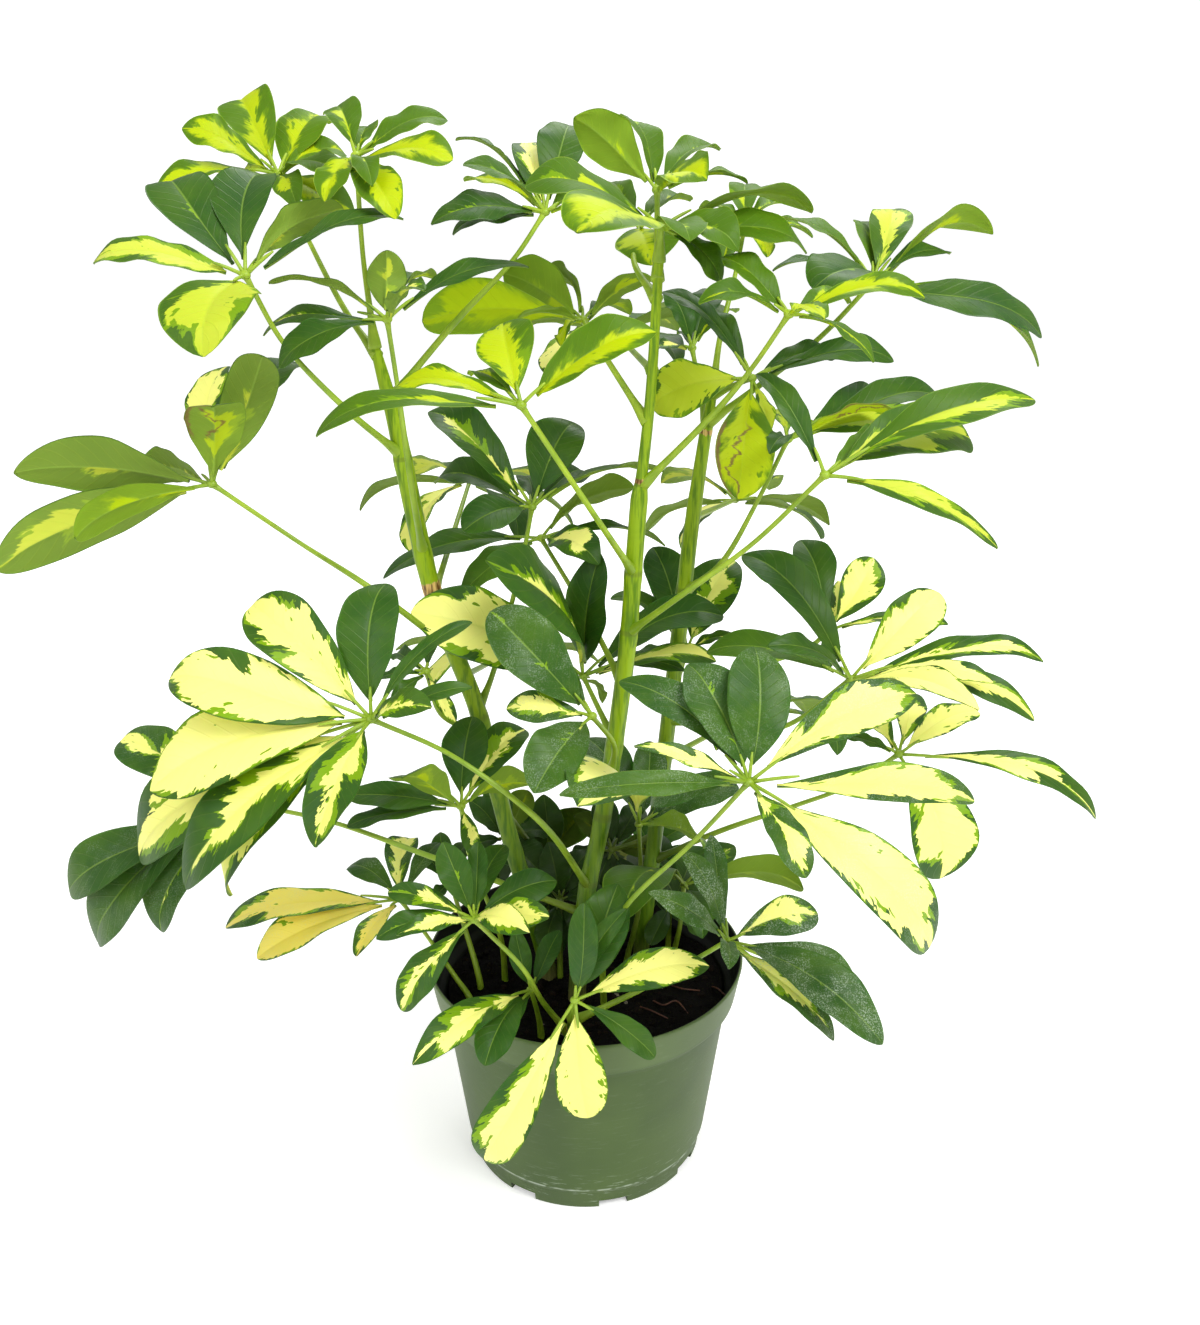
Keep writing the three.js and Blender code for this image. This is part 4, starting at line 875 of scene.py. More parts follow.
def feed(tree, node, **values):
    """Feeds or sets the named sockets of a node, such as a shader's own."""
    for name, value in values.items():
        put(tree, node.inputs[name.replace("_", " ")], value)


def node_of(tree, kind, *values, **settings):
    """A node's outputs. Its settings are made, and then its first sockets are fed in order."""
    node = tree.nodes.new("ShaderNode" + kind)
    for name, value in settings.items():
        setattr(node, name, value)
    for socket, value in zip(node.inputs, values):
        put(tree, socket, value)
    return node.outputs


def sums(tree, operation, a, b=0.0, c=0.0, clamp=False):
    return node_of(tree, "Math", a, b, c, operation=operation, use_clamp=clamp)[0]


def times(tree, a, b):
    return sums(tree, "MULTIPLY", a, b)


def scaled(tree, value, by, plus, clamp=False):
    return sums(tree, "MULTIPLY_ADD", value, by, plus, clamp)


def swung(tree, value, by, plus):
    """plus, moved up or down as value leaves one half."""
    return scaled(tree, sums(tree, "SUBTRACT", value, 0.5), by, plus)


def soft_step(tree, value, low, high, out_low=0.0, out_high=1.0):
    ends = (low, high, out_low, out_high)
    return node_of(tree, "MapRange", value, *ends, interpolation_type="SMOOTHSTEP")[0]


def vector(tree, x, y, z=0.0):
    return node_of(tree, "CombineXYZ", x, y, z)[0]


def vector_sums(tree, operation, a, b=(0.0, 0.0, 0.0)):
    made = node_of(tree, "VectorMath", a, b, operation=operation)
    return made["Value" if operation in ("LENGTH", "DOT_PRODUCT") else "Vector"]


def stretched(tree, place, z):
    return node_of(tree, "Mapping", place, (0.0, 0.0, 0.0), (0.0, 0.0, 0.0), (1.0, 1.0, z))[0]


def blend(tree, factor, a, b):
    node = tree.nodes.new("ShaderNodeMix")
    node.data_type = "RGBA"
    for socket, value in zip((node.inputs[0], node.inputs[6], node.inputs[7]), (factor, a, b)):
        put(tree, socket, value)
    return node.outputs[2]


def noise_of(tree, place, scale, detail=2.0, rough=0.5):
    node = tree.nodes.new("ShaderNodeTexNoise")
    feed(tree, node, Vector=place, Scale=scale, Detail=detail, Roughness=rough)
    return node.outputs["Fac"]


def mark(tree, name):
    """A number that the mesh carries at each point."""
    return node_of(tree, "Attribute", attribute_name=name)["Fac"]


def place_of(tree):
    return node_of(tree, "TexCoord")["Object"]


def use_group(tree, group, **values):
    node = tree.nodes.new("ShaderNodeGroup")
    node.node_tree = group
    feed(tree, node, **values)
    return node.outputs


def bumped(tree, height, strength, distance):
    node = tree.nodes.new("ShaderNodeBump")
    feed(tree, node, Strength=strength, Distance=distance, Height=height)
    return node.outputs["Normal"]


def new_material(name):
    material = bpy.data.materials.new(name)
    material.use_nodes = True
    tree = material.node_tree
    return material, tree, tree.nodes["Principled BSDF"]


def new_group(name, inputs, outputs):
    """A node group. Each input has a plain value, and every output is a number."""
    group = bpy.data.node_groups.new(name, "ShaderNodeTree")
    for label, value in inputs.items():
        kind = "NodeSocketVector" if isinstance(value, tuple) else "NodeSocketFloat"
        group.interface.new_socket(label, in_out="INPUT", socket_type=kind).default_value = value
    for label in outputs:
        group.interface.new_socket(label, in_out="OUTPUT", socket_type="NodeSocketFloat")
    given = group.nodes.new("NodeGroupInput").outputs
    return group, given, group.nodes.new("NodeGroupOutput")


def colour(red, green, blue):
    """A colour as a screen shows it, 0 to 255, turned into light."""
    def light(c):
        c /= 255.0
        return c / 12.92 if c <= 0.04045 else ((c + 0.055) / 1.055) ** 2.4

    return (light(red), light(green), light(blue), 1.0)


# %% Group: the pattern of a variegated leaflet
VEINS, VEIN_LEAN, VEIN_SHIFT = 11.0, 0.2, 0.21
leaf_pattern, given, made = new_group(
    "leaf pattern",
    {"along": 0.5, "across": 0.0, "seed": 0.0, "cream": 0.0, "crisp": 1.0},
    ["cream", "mid green", "vein", "midrib", "edge"],
)
g = leaf_pattern
along, across, seed, cream, crisp = (given[i] for i in range(5))
away = sums(g, "ABSOLUTE", across)
half = sums(g, "SIGN", across)
# Side veins leave the midrib forwards, so a point belongs to the vein that began further back.
vein_place = scaled(g, away, -VEIN_LEAN, along)
shift = scaled(g, seed, 9.0, times(g, half, 3.7))


def pattern_noise(scale, spread, layer, detail, rough=0.5):
    """Noise that is drawn out along the side veins."""
    place = vector(g, times(g, vein_place, scale), scaled(g, away, spread, shift), layer)
    return noise_of(g, place, 1.0, detail, rough)


broad = pattern_noise(2.6, 0.0, seed, 1.0)
jagged = pattern_noise(13.0, 1.3, 4.0, 3.0, 0.65)
flecks = pattern_noise(26.0, 5.0, 1.0, 2.0)
islands = soft_step(g, pattern_noise(8.0, 2.4, 7.0, 2.0), 0.6, 0.68, 0.0, 0.42)
patch_place = vector(g, times(g, vein_place, 4.0), sums(g, "ADD", shift, 31.0), seed)
patch = noise_of(g, patch_place, 1.0, 2.0)
# The pale middle narrows at the tip and at the foot of the leaflet.
taper = times(g, soft_step(g, along, 0.7, 1.06), -0.45)
border = sums(g, "ADD", swung(g, jagged, 0.75, swung(g, broad, 3.0, cream)), taper)
# However pale the leaflet, a thin ragged rim of it stays green, and so do a few islands.
ragged = swung(g, jagged, 0.5, 0.9)
inside = sums(g, "SUBTRACT", sums(g, "MINIMUM", border, ragged), away)
flecked = times(g, sums(g, "SUBTRACT", swung(g, flecks, 0.35, inside), islands), crisp)
reach = scaled(g, sums(g, "SUBTRACT", patch, 0.45), 1.9, 0.06)
band = swung(g, jagged, 0.7, swung(g, flecks, 0.5, sums(g, "ADD", inside, reach)))
beat = sums(g, "FRACT", scaled(g, vein_place, VEINS, times(g, half, VEIN_SHIFT)))
line = sums(g, "ABSOLUTE", sums(g, "SUBTRACT", beat, 0.5))
feed(
    g, made,
    cream=soft_step(g, flecked, -0.012, 0.012),
    mid_green=soft_step(g, times(g, band, crisp), -0.015, 0.03),
    vein=soft_step(g, line, 0.09, 0.0),
    midrib=soft_step(g, away, 0.045, 0.01),
    edge=soft_step(g, away, 0.955, 0.98),
)

# %% Group: painted shade deep inside the plant
DEEP_CENTRE, DEEP_REACH = (0.0, 0.02, 0.152), (0.09, 0.07, 0.082)
DEEP_SHADE_SHARE, DEEP_SHADE_TONE = 0.68, colour(12, 22, 7)
deep_shade_group, given, made = new_group("deep inside", {"place": (0.0, 0.0, 0.0)}, ["deep"])
g = deep_shade_group
far = vector_sums(g, "DIVIDE", vector_sums(g, "SUBTRACT", given[0], DEEP_CENTRE), DEEP_REACH)
feed(g, made, deep=soft_step(g, vector_sums(g, "LENGTH", far), 1.0, 0.4))


def painted_deep_shade(tree, skin):
    """Paints shade into a finish: darker where little light gets in among the leaves."""
    deep = use_group(tree, deep_shade_group, place=place_of(tree))["deep"]
    return blend(tree, times(tree, deep, DEEP_SHADE_SHARE), skin, DEEP_SHADE_TONE)


# %% The two faces of a leaflet
def scorch_and_golden_shade(t, body, cream):
    """A scorched leaflet has a dry brown line that wanders along it; a golden one has painted shade
    on its cream.
    """
    along, across, scorch_and_shade = (mark(t, name) for name in ("leaf_along", "leaf_across", "leaf_scorch_and_shade"))
    course = vector(t, times(t, along, 3.0), mark(t, "leaf_seed"))
    wander = scaled(t, noise_of(t, course, 1.0, 5.0, 0.62), 2.8, -1.15)
    stray = sums(t, "ABSOLUTE", sums(t, "SUBTRACT", across, wander))
    broken = noise_of(t, place_of(t), 300.0, 3.0, 0.7)
    dry_line = soft_step(t, scaled(t, broken, 0.22, stray), 0.22, 0.12)
    burnt_edge = soft_step(t, scaled(t, broken, 0.35, across), 0.98, 1.06)
    dry = sums(t, "MAXIMUM", dry_line, burnt_edge)
    dry = times(t, dry, soft_step(t, along, 0.3, 0.42, 0.0, 0.85))
    dry = times(t, dry, soft_step(t, scorch_and_shade, 0.5, 0.9))
    body = blend(t, dry, body, blend(t, broken, colour(84, 62, 30), colour(150, 118, 70)))
    # Painted shade: where the mark is near 0.5, the cream is painted golden.
    golden_shade = times(t, soft_step(t, scorch_and_shade, 0.9, 0.5), soft_step(t, scorch_and_shade, 0.1, 0.4, 0.0, 0.75))
    return blend(t, times(t, golden_shade, cream), body, colour(232, 208, 84))


def leaf_material(name, fresh, grown, roughness, specular, vein_share, crisp):
    """fresh and grown are each (green, mid green, cream). A leaflet's age mixes the two."""
    material, t, shader = new_material(name)
    age, dust_and_sheen = mark(t, "leaf_age"), mark(t, "leaf_dust_and_sheen")
    made = use_group(
        t, leaf_pattern,
        along=mark(t, "leaf_along"), across=mark(t, "leaf_across"), seed=mark(t, "leaf_seed"),
        cream=mark(t, "leaf_cream"), crisp=scaled(t, age, crisp, 0.05),
    )
    # Green darkens early in a leaflet's life, and lime turns to cream late.
    early, late = sums(t, "POWER", age, 0.65), sums(t, "POWER", age, 3.0)
    green, mid_green, cream = (
        blend(t, turn, a, b) for turn, a, b in zip((early, early, late), fresh, grown)
    )
    cloud = noise_of(t, place_of(t), 45.0, 3.0, 0.6)
    body = blend(t, soft_step(t, cloud, 0.3, 0.7), green, blend(t, 0.16, green, mid_green))
    body = blend(t, made["mid green"], body, mid_green)
    body = blend(t, made["cream"], body, cream)
    body = blend(t, times(t, made["vein"], vein_share), body, blend(t, 0.5, mid_green, cream))
    ribbed = times(t, made["midrib"], scaled(t, made["cream"], -0.28, 0.36))
    body = blend(t, ribbed, body, colour(150, 182, 74))
    body = scorch_and_golden_shade(t, body, made["cream"])
    outline = blend(t, age, colour(150, 178, 50), colour(56, 92, 30))
    body = blend(t, times(t, made["edge"], 0.65), body, outline)
    # Pale specks in patches: real dust on most leaves, and a painted sheen on the broad front one.
    specks = noise_of(t, place_of(t), 1600.0, 2.0, 0.7)
    patches = soft_step(t, noise_of(t, place_of(t), 70.0, 4.0, 0.7), 0.42, 0.62, 0.1, 1.0)
    dust_and_sheen_specks = times(t, times(t, soft_step(t, specks, 0.5, 0.62, 0.06, 0.75), dust_and_sheen), patches)
    body = blend(t, dust_and_sheen_specks, body, colour(188, 202, 180))
    fine = noise_of(t, place_of(t), 420.0, 3.0, 0.6)
    rough = scaled(t, fine, 0.16, scaled(t, age, -0.12, roughness + 0.04))
    relief = scaled(t, made["vein"], -0.6, times(t, fine, 0.35))
    # The leaflet's colour gets painted shade deep inside the plant.
    feed(
        t, shader, Base_Color=painted_deep_shade(t, body),
        Roughness=scaled(t, dust_and_sheen_specks, 0.35, rough, clamp=True), Specular_IOR_Level=specular,
        Subsurface_Weight=0.12, Subsurface_Radius=(0.4, 1.0, 0.2), Subsurface_Scale=0.0015,
        Normal=bumped(t, relief, 0.35, 0.0004),
    )
    return material


leaf_upper = leaf_material(
    "leaf_upper",
    (colour(80, 117, 0), colour(106, 142, 0), colour(176, 194, 0)),
    (colour(44, 82, 25), colour(120, 158, 12), colour(253, 250, 140)),
    0.4, 0.2, 0.03, 0.91,
)
leaf_lower = leaf_material(
    "leaf_lower",
    (colour(124, 158, 22), colour(142, 172, 22), colour(172, 194, 12)),
    (colour(114, 140, 54), colour(142, 168, 52), colour(196, 200, 78)),
    0.58, 0.12, 0.12, 0.2,
)
print("leaf faces:", leaf_upper.name, leaf_lower.name)

# %% Petioles and young wood
petiole_skin, t, shader = new_material("petiole_skin")
streaks = noise_of(t, place_of(t), 60.0, 3.0, 0.6)
skin = blend(t, soft_step(t, streaks, 0.3, 0.7), colour(126, 158, 16), colour(164, 190, 40))
skin = blend(t, times(t, mark(t, "leaf_age"), 0.3), skin, colour(104, 138, 46))
# The petiole's colour gets painted shade deep inside the plant.
feed(
    t, shader, Base_Color=painted_deep_shade(t, skin), Roughness=scaled(t, streaks, 0.2, 0.35),
    Subsurface_Weight=0.1, Subsurface_Radius=(0.5, 1.0, 0.2), Subsurface_Scale=0.0015,
    Normal=bumped(t, noise_of(t, place_of(t), 700.0, 2.0), 0.25, 0.0003),
)

# %% [markdown]
# ## Growing a fine leaflet
#
# The real leaflet is a leathery blade on a thin stalk, widest beyond its middle, with a sunken
# midrib, slightly swollen panels between its side veins and an edge that waves. It could be cut
# from a plane with modifiers, but then each of the many would need its own. Here a grid of points
# is bent by a few sums, above and below, so that every leaflet is a closed skin of its own shape.

# %% The fine form of one leaflet
ROWS, STALK_END, SKIN, FULLNESS, LEAST_HALF = 29, 0.12, 0.5, 1.04, 0.45
GROOVE_DEPTH, GROOVE_WIDTH, RIB_HEIGHT, RIB_WIDTH = 0.34, 0.55, 0.75, 0.6
PANEL_SWELL, HOOK_START = 0.28, 0.84
FLANK = [0.06, 0.18, 0.38, 0.6, 0.8, 0.93, 1]
COLUMNS = np.array([-s for s in FLANK[::-1]] + [0] + FLANK)


def blade_surface(frame_of, index, luck):
    """The upper face of a leaflet, with how far along and across it each point is."""
    hub, along, length, up, side, half = frame_of
    # Rows lie closer towards both ends, where the outline turns fastest.
    v = np.linspace(0.0, 1.0, ROWS)[:, None]
    u = 0.25 * v + 0.75 * (0.5 - 0.5 * np.cos(math.pi * v))
    t = STALK_END + (1 - STALK_END) * u
    s = COLUMNS[None, :]
    off = np.abs(s)
    foot, round_tip = luck.uniform(0.9, 1.2), luck.uniform(0.5, 0.74)
    widest = foot / (foot + round_tip)
    shape = (u / widest) ** foot * (np.maximum(1 - u, 0) / (1 - widest)) ** round_tip
    shape = shape * (1 + 0.02 * np.sin(11 * u + luck.uniform(0, 6)))
    one_side = 1 + 0.06 * np.sign(s) * luck.uniform(-1, 1)
    wide = np.maximum(half * FULLNESS * shape, LEAST_HALF)
    x = s * wide * one_side
    skew = luck.uniform(1.0, 1.9)
    peak = skew / (skew + 1)
    raised = (t / peak) ** skew * (1 - t) / (1 - peak) * BLADE_ARCH * length
    folded = off * wide * BLADE_FOLD * 2 * luck.uniform(0.75, 1.3)
    rolled = -(s**2) * wide * luck.uniform(0.05, 0.2)
    waved = s * shape * BLADE_WAVE * 1.5 * np.sin(9 * t + index)
    ripple_height, ripple_count = luck.uniform(0.3, 1.0), luck.uniform(17, 25)
    ripple = np.sin(ripple_count * t + 3 * np.sign(s) + luck.uniform(0, 6))
    rippled = off**3 * shape * ripple_height * ripple
    beat = VEINS * (u - VEIN_LEAN * off) + VEIN_SHIFT * np.sign(s)
    panels = np.abs(np.sin(math.pi * beat)) - 0.5
    quilted = PANEL_SWELL * panels * np.sin(math.pi * np.clip(off, 0, 1)) * shape
    groove = -GROOVE_DEPTH * bell(x, GROOVE_WIDTH) * (1 - 0.7 * u)
    lift = raised + folded + rolled + waved + rippled + quilted + groove
    twist = luck.uniform(-0.5, 0.5) * (t - 0.3)
    swept = 4 * t * (1 - t) * luck.uniform(-0.05, 0.05) * length
    hook = np.clip((t - HOOK_START) / (1 - HOOK_START), 0, 1) ** 2
    hooked = -hook * luck.choice([0.0, 1.0, 2.2]) * half * 0.12
    across, over = x * np.cos(twist) + swept, x * np.sin(twist) + hooked
    top = hub + along * (length * t)[..., None]
    top = top + side * across[..., None] + up * (lift + over)[..., None]
    return top, x, u, s


def fine_blade(frame_of, index, luck):
    """The closed skin of one leaflet: points, faces, slots and how far along and across each is."""
    top, x, u, s = blade_surface(frame_of, index, luck)
    # Normals of the grid carry the lower face at one thickness, with the midrib standing out.
    go, cross = np.gradient(top, axis=0), np.gradient(top, axis=1)
    normal = unit(np.cross(cross, go))
    normal = normal * np.sign(np.sum(normal * frame_of[3], -1, keepdims=True) + 1e-9)
    thin = SKIN * np.clip((1 - np.abs(s)) * 6, 0.35, 1.0) * np.ones_like(u)
    rib = RIB_HEIGHT * bell(x, RIB_WIDTH) * (1 - 0.75 * u)
    low = top - normal * (thin + rib)[..., None]
    rows, columns = ROWS, len(COLUMNS)
    faces = rows_to_faces(rows, columns, 0, closed=False, flip=True)
    under = rows_to_faces(rows, columns, rows * columns, closed=False)
    # The rim goes once round the grid and joins its two faces.
    last = (rows - 1) * columns
    loop = [r * columns for r in range(rows)] + [last + c for c in range(1, columns)]
    loop += [r * columns + columns - 1 for r in range(rows - 2, -1, -1)]
    loop += list(range(columns - 2, 0, -1))
    under_by = rows * columns
    rim = [(a, b, b + under_by, a + under_by) for a, b in zip(loop, loop[1:] + loop[:1])]
    slots = [0] * len(faces) + [1] * len(under) + [0] * len(rim)
    far, wide_at = (np.tile(np.broadcast_to(part, x.shape).ravel(), 2) for part in (u, s))
    points = np.concatenate([top.reshape(-1, 3), low.reshape(-1, 3)])
    return points, faces + under + rim, slots, far, wide_at


# %% Grow every leaf
MARKS = ["leaf_" + name for name in ("along", "across", "seed", "age", "cream", "scorch_and_shade", "dust_and_sheen")]
STALK_RADII = [1.0, 0.8, 0.75, 0.7, 0.45]
THINNER, FOOT_SWELL, SOIL_SWELL, FOOT_REACH = 0.84, 0.8, 0.1, 8.5
HUB_SWELL, HUB_REACH, HUB_HEIGHT, HUB_RADIUS = 0.5, 3.0, 1.9, 2.3


def grow_leaf(number, leaf, frames):
    """One compound leaf: its petiole, its hub and its leaflets, joined in one mesh."""
    luck = np.random.default_rng(100 + number)
    paints = [PAINTS[letter] for letter in leaf["paint"]]
    mean_age = np.mean([paint[0] for paint in paints])
    points, faces, slots = [], [], []
    marks = {name: [] for name in MARKS}

    def add(body, body_slots, along=0, across=0, seed=0, age=mean_age, cream=0, scorch_and_shade=0):
        join(points, faces, *body)
        slots.extend(body_slots)
        given = (along, across, seed, age, cream, scorch_and_shade, leaf["dust_and_sheen"])
        for values, value in zip(marks.values(), given):
            values.append(np.broadcast_to(value, (len(body[0]),)))

    def add_tube(course, radii, sides):
        body = tube(course, radii, sides)
        add(body, [2] * len(body[1]))

    for k in np.flatnonzero(blade_leaf == number):
        frame_of = tuple(part[k] for part in frames)
        index = blade_index[k]
        age, cream, *scorch_and_shade = paints[index]
        blade_points, blade_faces, blade_slots, far, wide = fine_blade(frame_of, index, luck)
        seed = luck.uniform(0, 10)
        cream = cream + luck.uniform(-0.1, 0.1)
        age = min(max(age + luck.uniform(-0.1, 0.06), 0), 1)
        add((blade_points, blade_faces), blade_slots, far, wide, seed, age, cream, *scorch_and_shade)
        hub, along, length, up = frame_of[:4]
        steps = np.linspace(0.0, STALK_END + 0.09, len(STALK_RADII))
        raised = 4 * steps * (1 - steps) * BLADE_ARCH * length
        stalk = hub + along * (length * steps)[:, None] + up * (raised - 0.35)[:, None]
        add_tube(stalk, STALK_RADII, 8)

    course_points, radii = petiole_points(leaf, places)
    course, sizes = smooth_course(course_points, radii, 6 * (len(course_points) + 1))
    walk = np.concatenate([[0], np.cumsum(np.linalg.norm(np.diff(course, axis=0), axis=1))])
    swell = SOIL_SWELL if leaf["stem"] == "soil" else FOOT_SWELL
    sizes = THINNER * sizes * (1 + swell * bell(walk, FOOT_REACH))
    add_tube(course, sizes + HUB_SWELL * bell(walk[-1] - walk, HUB_REACH), 12)
    turn = np.linspace(0, math.pi, 9)
    hub_course = places[leaf["hub_knob"]] + UPWARD * (np.cos(turn) * -HUB_HEIGHT)[:, None]
    add_tube(hub_course, np.maximum(np.sin(turn) * HUB_RADIUS, 0.1), 14)

    materials = [leaf_upper, leaf_lower, petiole_skin]
    piece = make_piece(leaf["name"] + "_grown", np.concatenate(points), faces, materials, slots)
    carry(piece, **{name: np.concatenate(values) for name, values in marks.items()})
    if not is_inner[number]:
        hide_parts(leaf["name"])
    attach(piece, "root")
    return piece


frames = blade_frames(places)
grown = [grow_leaf(number, leaf, frames) for number, leaf in enumerate(LEAVES)]
print(len(grown), "leaves,", sum(len(piece.data.polygons) for piece in grown), "faces")

# %% [markdown]
# ## Stems
#
# The main stems are green and faintly ridged, swell at each old leaf's place, and carry a brown
# papery scar there. A tube follows the same course as the frame's stem. Its radius is varied
# round and along, and the mesh carries where the scars are, so that the shader can brown them.

# %% Finish of the stems
stem_skin, t, shader = new_material("stem_skin")
place = place_of(t)
streak = noise_of(t, stretched(t, place, 0.08), 520.0, 3.0, 0.6)
blotch = noise_of(t, place, 70.0, 3.0, 0.6)
skin = blend(t, soft_step(t, streak, 0.34, 0.58), colour(90, 128, 2), colour(144, 174, 14))
# Lower down the stems are darker: partly painted shade under the leaves, partly older wood.
low_down = soft_step(t, node_of(t, "SeparateXYZ", place)["Z"], 0.3, 0.13, 0.0, 0.75)
skin = blend(t, low_down, skin, blend(t, streak, colour(44, 78, 10), colour(72, 112, 16)))
skin = blend(t, soft_step(t, blotch, 0.5, 0.85, 0.0, 0.6), skin, colour(92, 130, 18))
scar = mark(t, "stem_scar")
skin = blend(t, soft_step(t, scar, 0.1, 0.5, 0.0, 0.45), skin, colour(92, 104, 36))
papery = swung(t, streak, 1.4, mark(t, "stem_paper"))
bark = blend(t, soft_step(t, streak, 0.4, 0.6), colour(98, 62, 22), colour(224, 188, 112))
skin = blend(t, soft_step(t, papery, 0.4, 0.6), skin, bark)
wood = blend(t, streak, colour(74, 60, 40), colour(140, 124, 88))
feed(
    t, shader, Base_Color=blend(t, mark(t, "stem_wood"), skin, wood),
    Roughness=scaled(t, scar, 0.3, scaled(t, streak, 0.2, 0.32), clamp=True),
    Specular_IOR_Level=0.3, Subsurface_Weight=0.08, Subsurface_Radius=(0.5, 1.0, 0.2),
    Subsurface_Scale=0.002, Normal=bumped(t, scaled(t, scar, -0.6, streak), 0.25, 0.0004),
)

# %% Grow the stems
SCARS = {  # picture heights of old leaf places, seen down each stem
    "left": (458, 552, 640, 715, 785, 850),
    "centre": (484, 571, 632, 742, 775, 815, 880),
    "right": (424, 500, 590, 690, 755, 860),
    "shoot": (1030,),
}
# Picture height and reach of each papery sheath
PAPERY = {"left": (588, 6.5), "centre": (481, 2.5), "right": (432, 1.8), "shoot": (1028, 2.0)}
STEM_SIDES, STEM_THINNER, STEM_BULGE = 36, 0.85, 0.07
WOOD_RISE, WOOD_FADE = 30, 24


def make_stem(name, rows):
    course, radii = grow_stem(rows, 14)
    height = picture_of(course)[:, 1]
    scar = np.max([bell(height - at, 1.6) for at in SCARS[name]], axis=0)
    bulge = 1 + STEM_BULGE * sum(bell(height - at - 4, 8.0) for at in SCARS[name])
    at, reach = PAPERY[name]
    paper = np.exp(-(((height - at) / reach) ** 4))

    def ridges(i, turn):
        waves = 1 + 0.02 * np.cos(5 * turn + 0.01 * i) + 0.01 * np.cos(13 * turn)
        return waves + 0.05 * paper[i] * np.cos(9 * turn)

    sizes = radii * STEM_THINNER * np.clip(bulge, 1, 1.1)
    points, faces = tube(course, sizes, STEM_SIDES, ridges)
    piece = make_piece("stem_%s_grown" % name, points, faces, [stem_skin])
    wood = np.clip((course[0, 2] + WOOD_RISE - course[:, 2]) / WOOD_FADE, 0, 1)
    wood = wood * (0.85 if name != "shoot" else 0.4)
    scar, wood, paper = (np.repeat(values, STEM_SIDES) for values in (scar, wood, paper))
    carry(piece, stem_scar=scar, stem_wood=wood, stem_paper=paper)
    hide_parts("stem_" + name)
    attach(piece, "root")
    return piece


stem_pieces = [make_stem(name, rows) for name, rows in STEMS.items()]
print([piece.name for piece in stem_pieces])

# %% [markdown]
# ## Soil
#
# Potting soil is dark, crumbly and uneven, with bits of bark, a few pale grains and some fine
# reddish roots on top. Displacing a disc gives the lumps. The bits are small rough stones,
# scattered by a seeded rule and joined in the same mesh, because particles don't survive export.

# %% Finish of the soil
soil_crumb, t, shader = new_material("soil_crumb")
place = place_of(t)
crumb = noise_of(t, place, 260.0, 5.0, 0.7)
dirt = blend(t, soft_step(t, crumb, 0.35, 0.7), colour(4, 3, 2), colour(13, 9, 7))
bit = blend(t, crumb, colour(14, 9, 7), colour(40, 28, 20))
dirt = blend(t, mark(t, "soil_bit"), dirt, bit)
feed(
    t, shader, Base_Color=blend(t, mark(t, "soil_pale"), dirt, colour(140, 132, 116)),
    Roughness=0.9, Specular_IOR_Level=0.12,
    Normal=bumped(t, noise_of(t, place, 600.0, 6.0, 0.75), 1.0, 0.0012),
)

# %% Lumpy soil with bark and grains
SOIL_TOP_RADIUS, SOIL_FOOT_RADIUS, SOIL_FLOOR = 72.6, 59.9, 2.75
SOIL_RINGS, SOIL_SPOKES, SOIL_SINK = 46, 150, 4
BITS, LARGE_BITS, SCATTER, BIT_POINTS = 620, 60, 70, 26
luck = np.random.default_rng(7)


def lump_at(x, y):
    """How far the soil swells or sinks at a place."""
    broad = noise.noise(Vector((x / 19, y / 19, 1.0))) * 2.6
    return broad + noise.noise(Vector((x / 6, y / 6, 5.0))) * 1.5


rings = [
    level_ring(SOIL_FOOT_RADIUS, SOIL_FLOOR, SOIL_SPOKES),
    level_ring(SOIL_TOP_RADIUS, SOIL_LEVEL - SOIL_SINK, SOIL_SPOKES),
]
for radius in np.linspace(SOIL_TOP_RADIUS, 1.0, SOIL_RINGS):
    ring = level_ring(radius, 0.0, SOIL_SPOKES)
    crumbs = [noise.noise(Vector((x / 2.2, y / 2.2, 9.0))) * 0.8 for x, y, _ in ring]
    lumps = [lump_at(x, y) + crumb for (x, y, _), crumb in zip(ring, crumbs)]
    ring[:, 2] = SOIL_LEVEL + np.clip(lumps, -3.2, 2.6) - 0.4
    rings.append(ring)
soil_points, soil_faces = [np.concatenate(rings)], barrel_faces(len(rings), SOIL_SPOKES)
bit_mark, pale_mark = [np.zeros(len(soil_points[0]))], [np.zeros(len(soil_points[0]))]


def rough_stone():
    """A small stone of 26 points."""
    bands = [level_ring(math.sqrt(1 - lift * lift), lift, 8) for lift in (-0.72, 0.0, 0.72)]
    points = np.concatenate([*bands, [[0, 0, -1], [0, 0, 1]]])
    points = points * luck.uniform(0.7, 1.2, (BIT_POINTS, 1))
    faces = rows_to_faces(3, 8) + [(24, (k + 1) % 8, k) for k in range(8)]
    return points, faces + [(25, 16 + k, 16 + (k + 1) % 8) for k in range(8)]


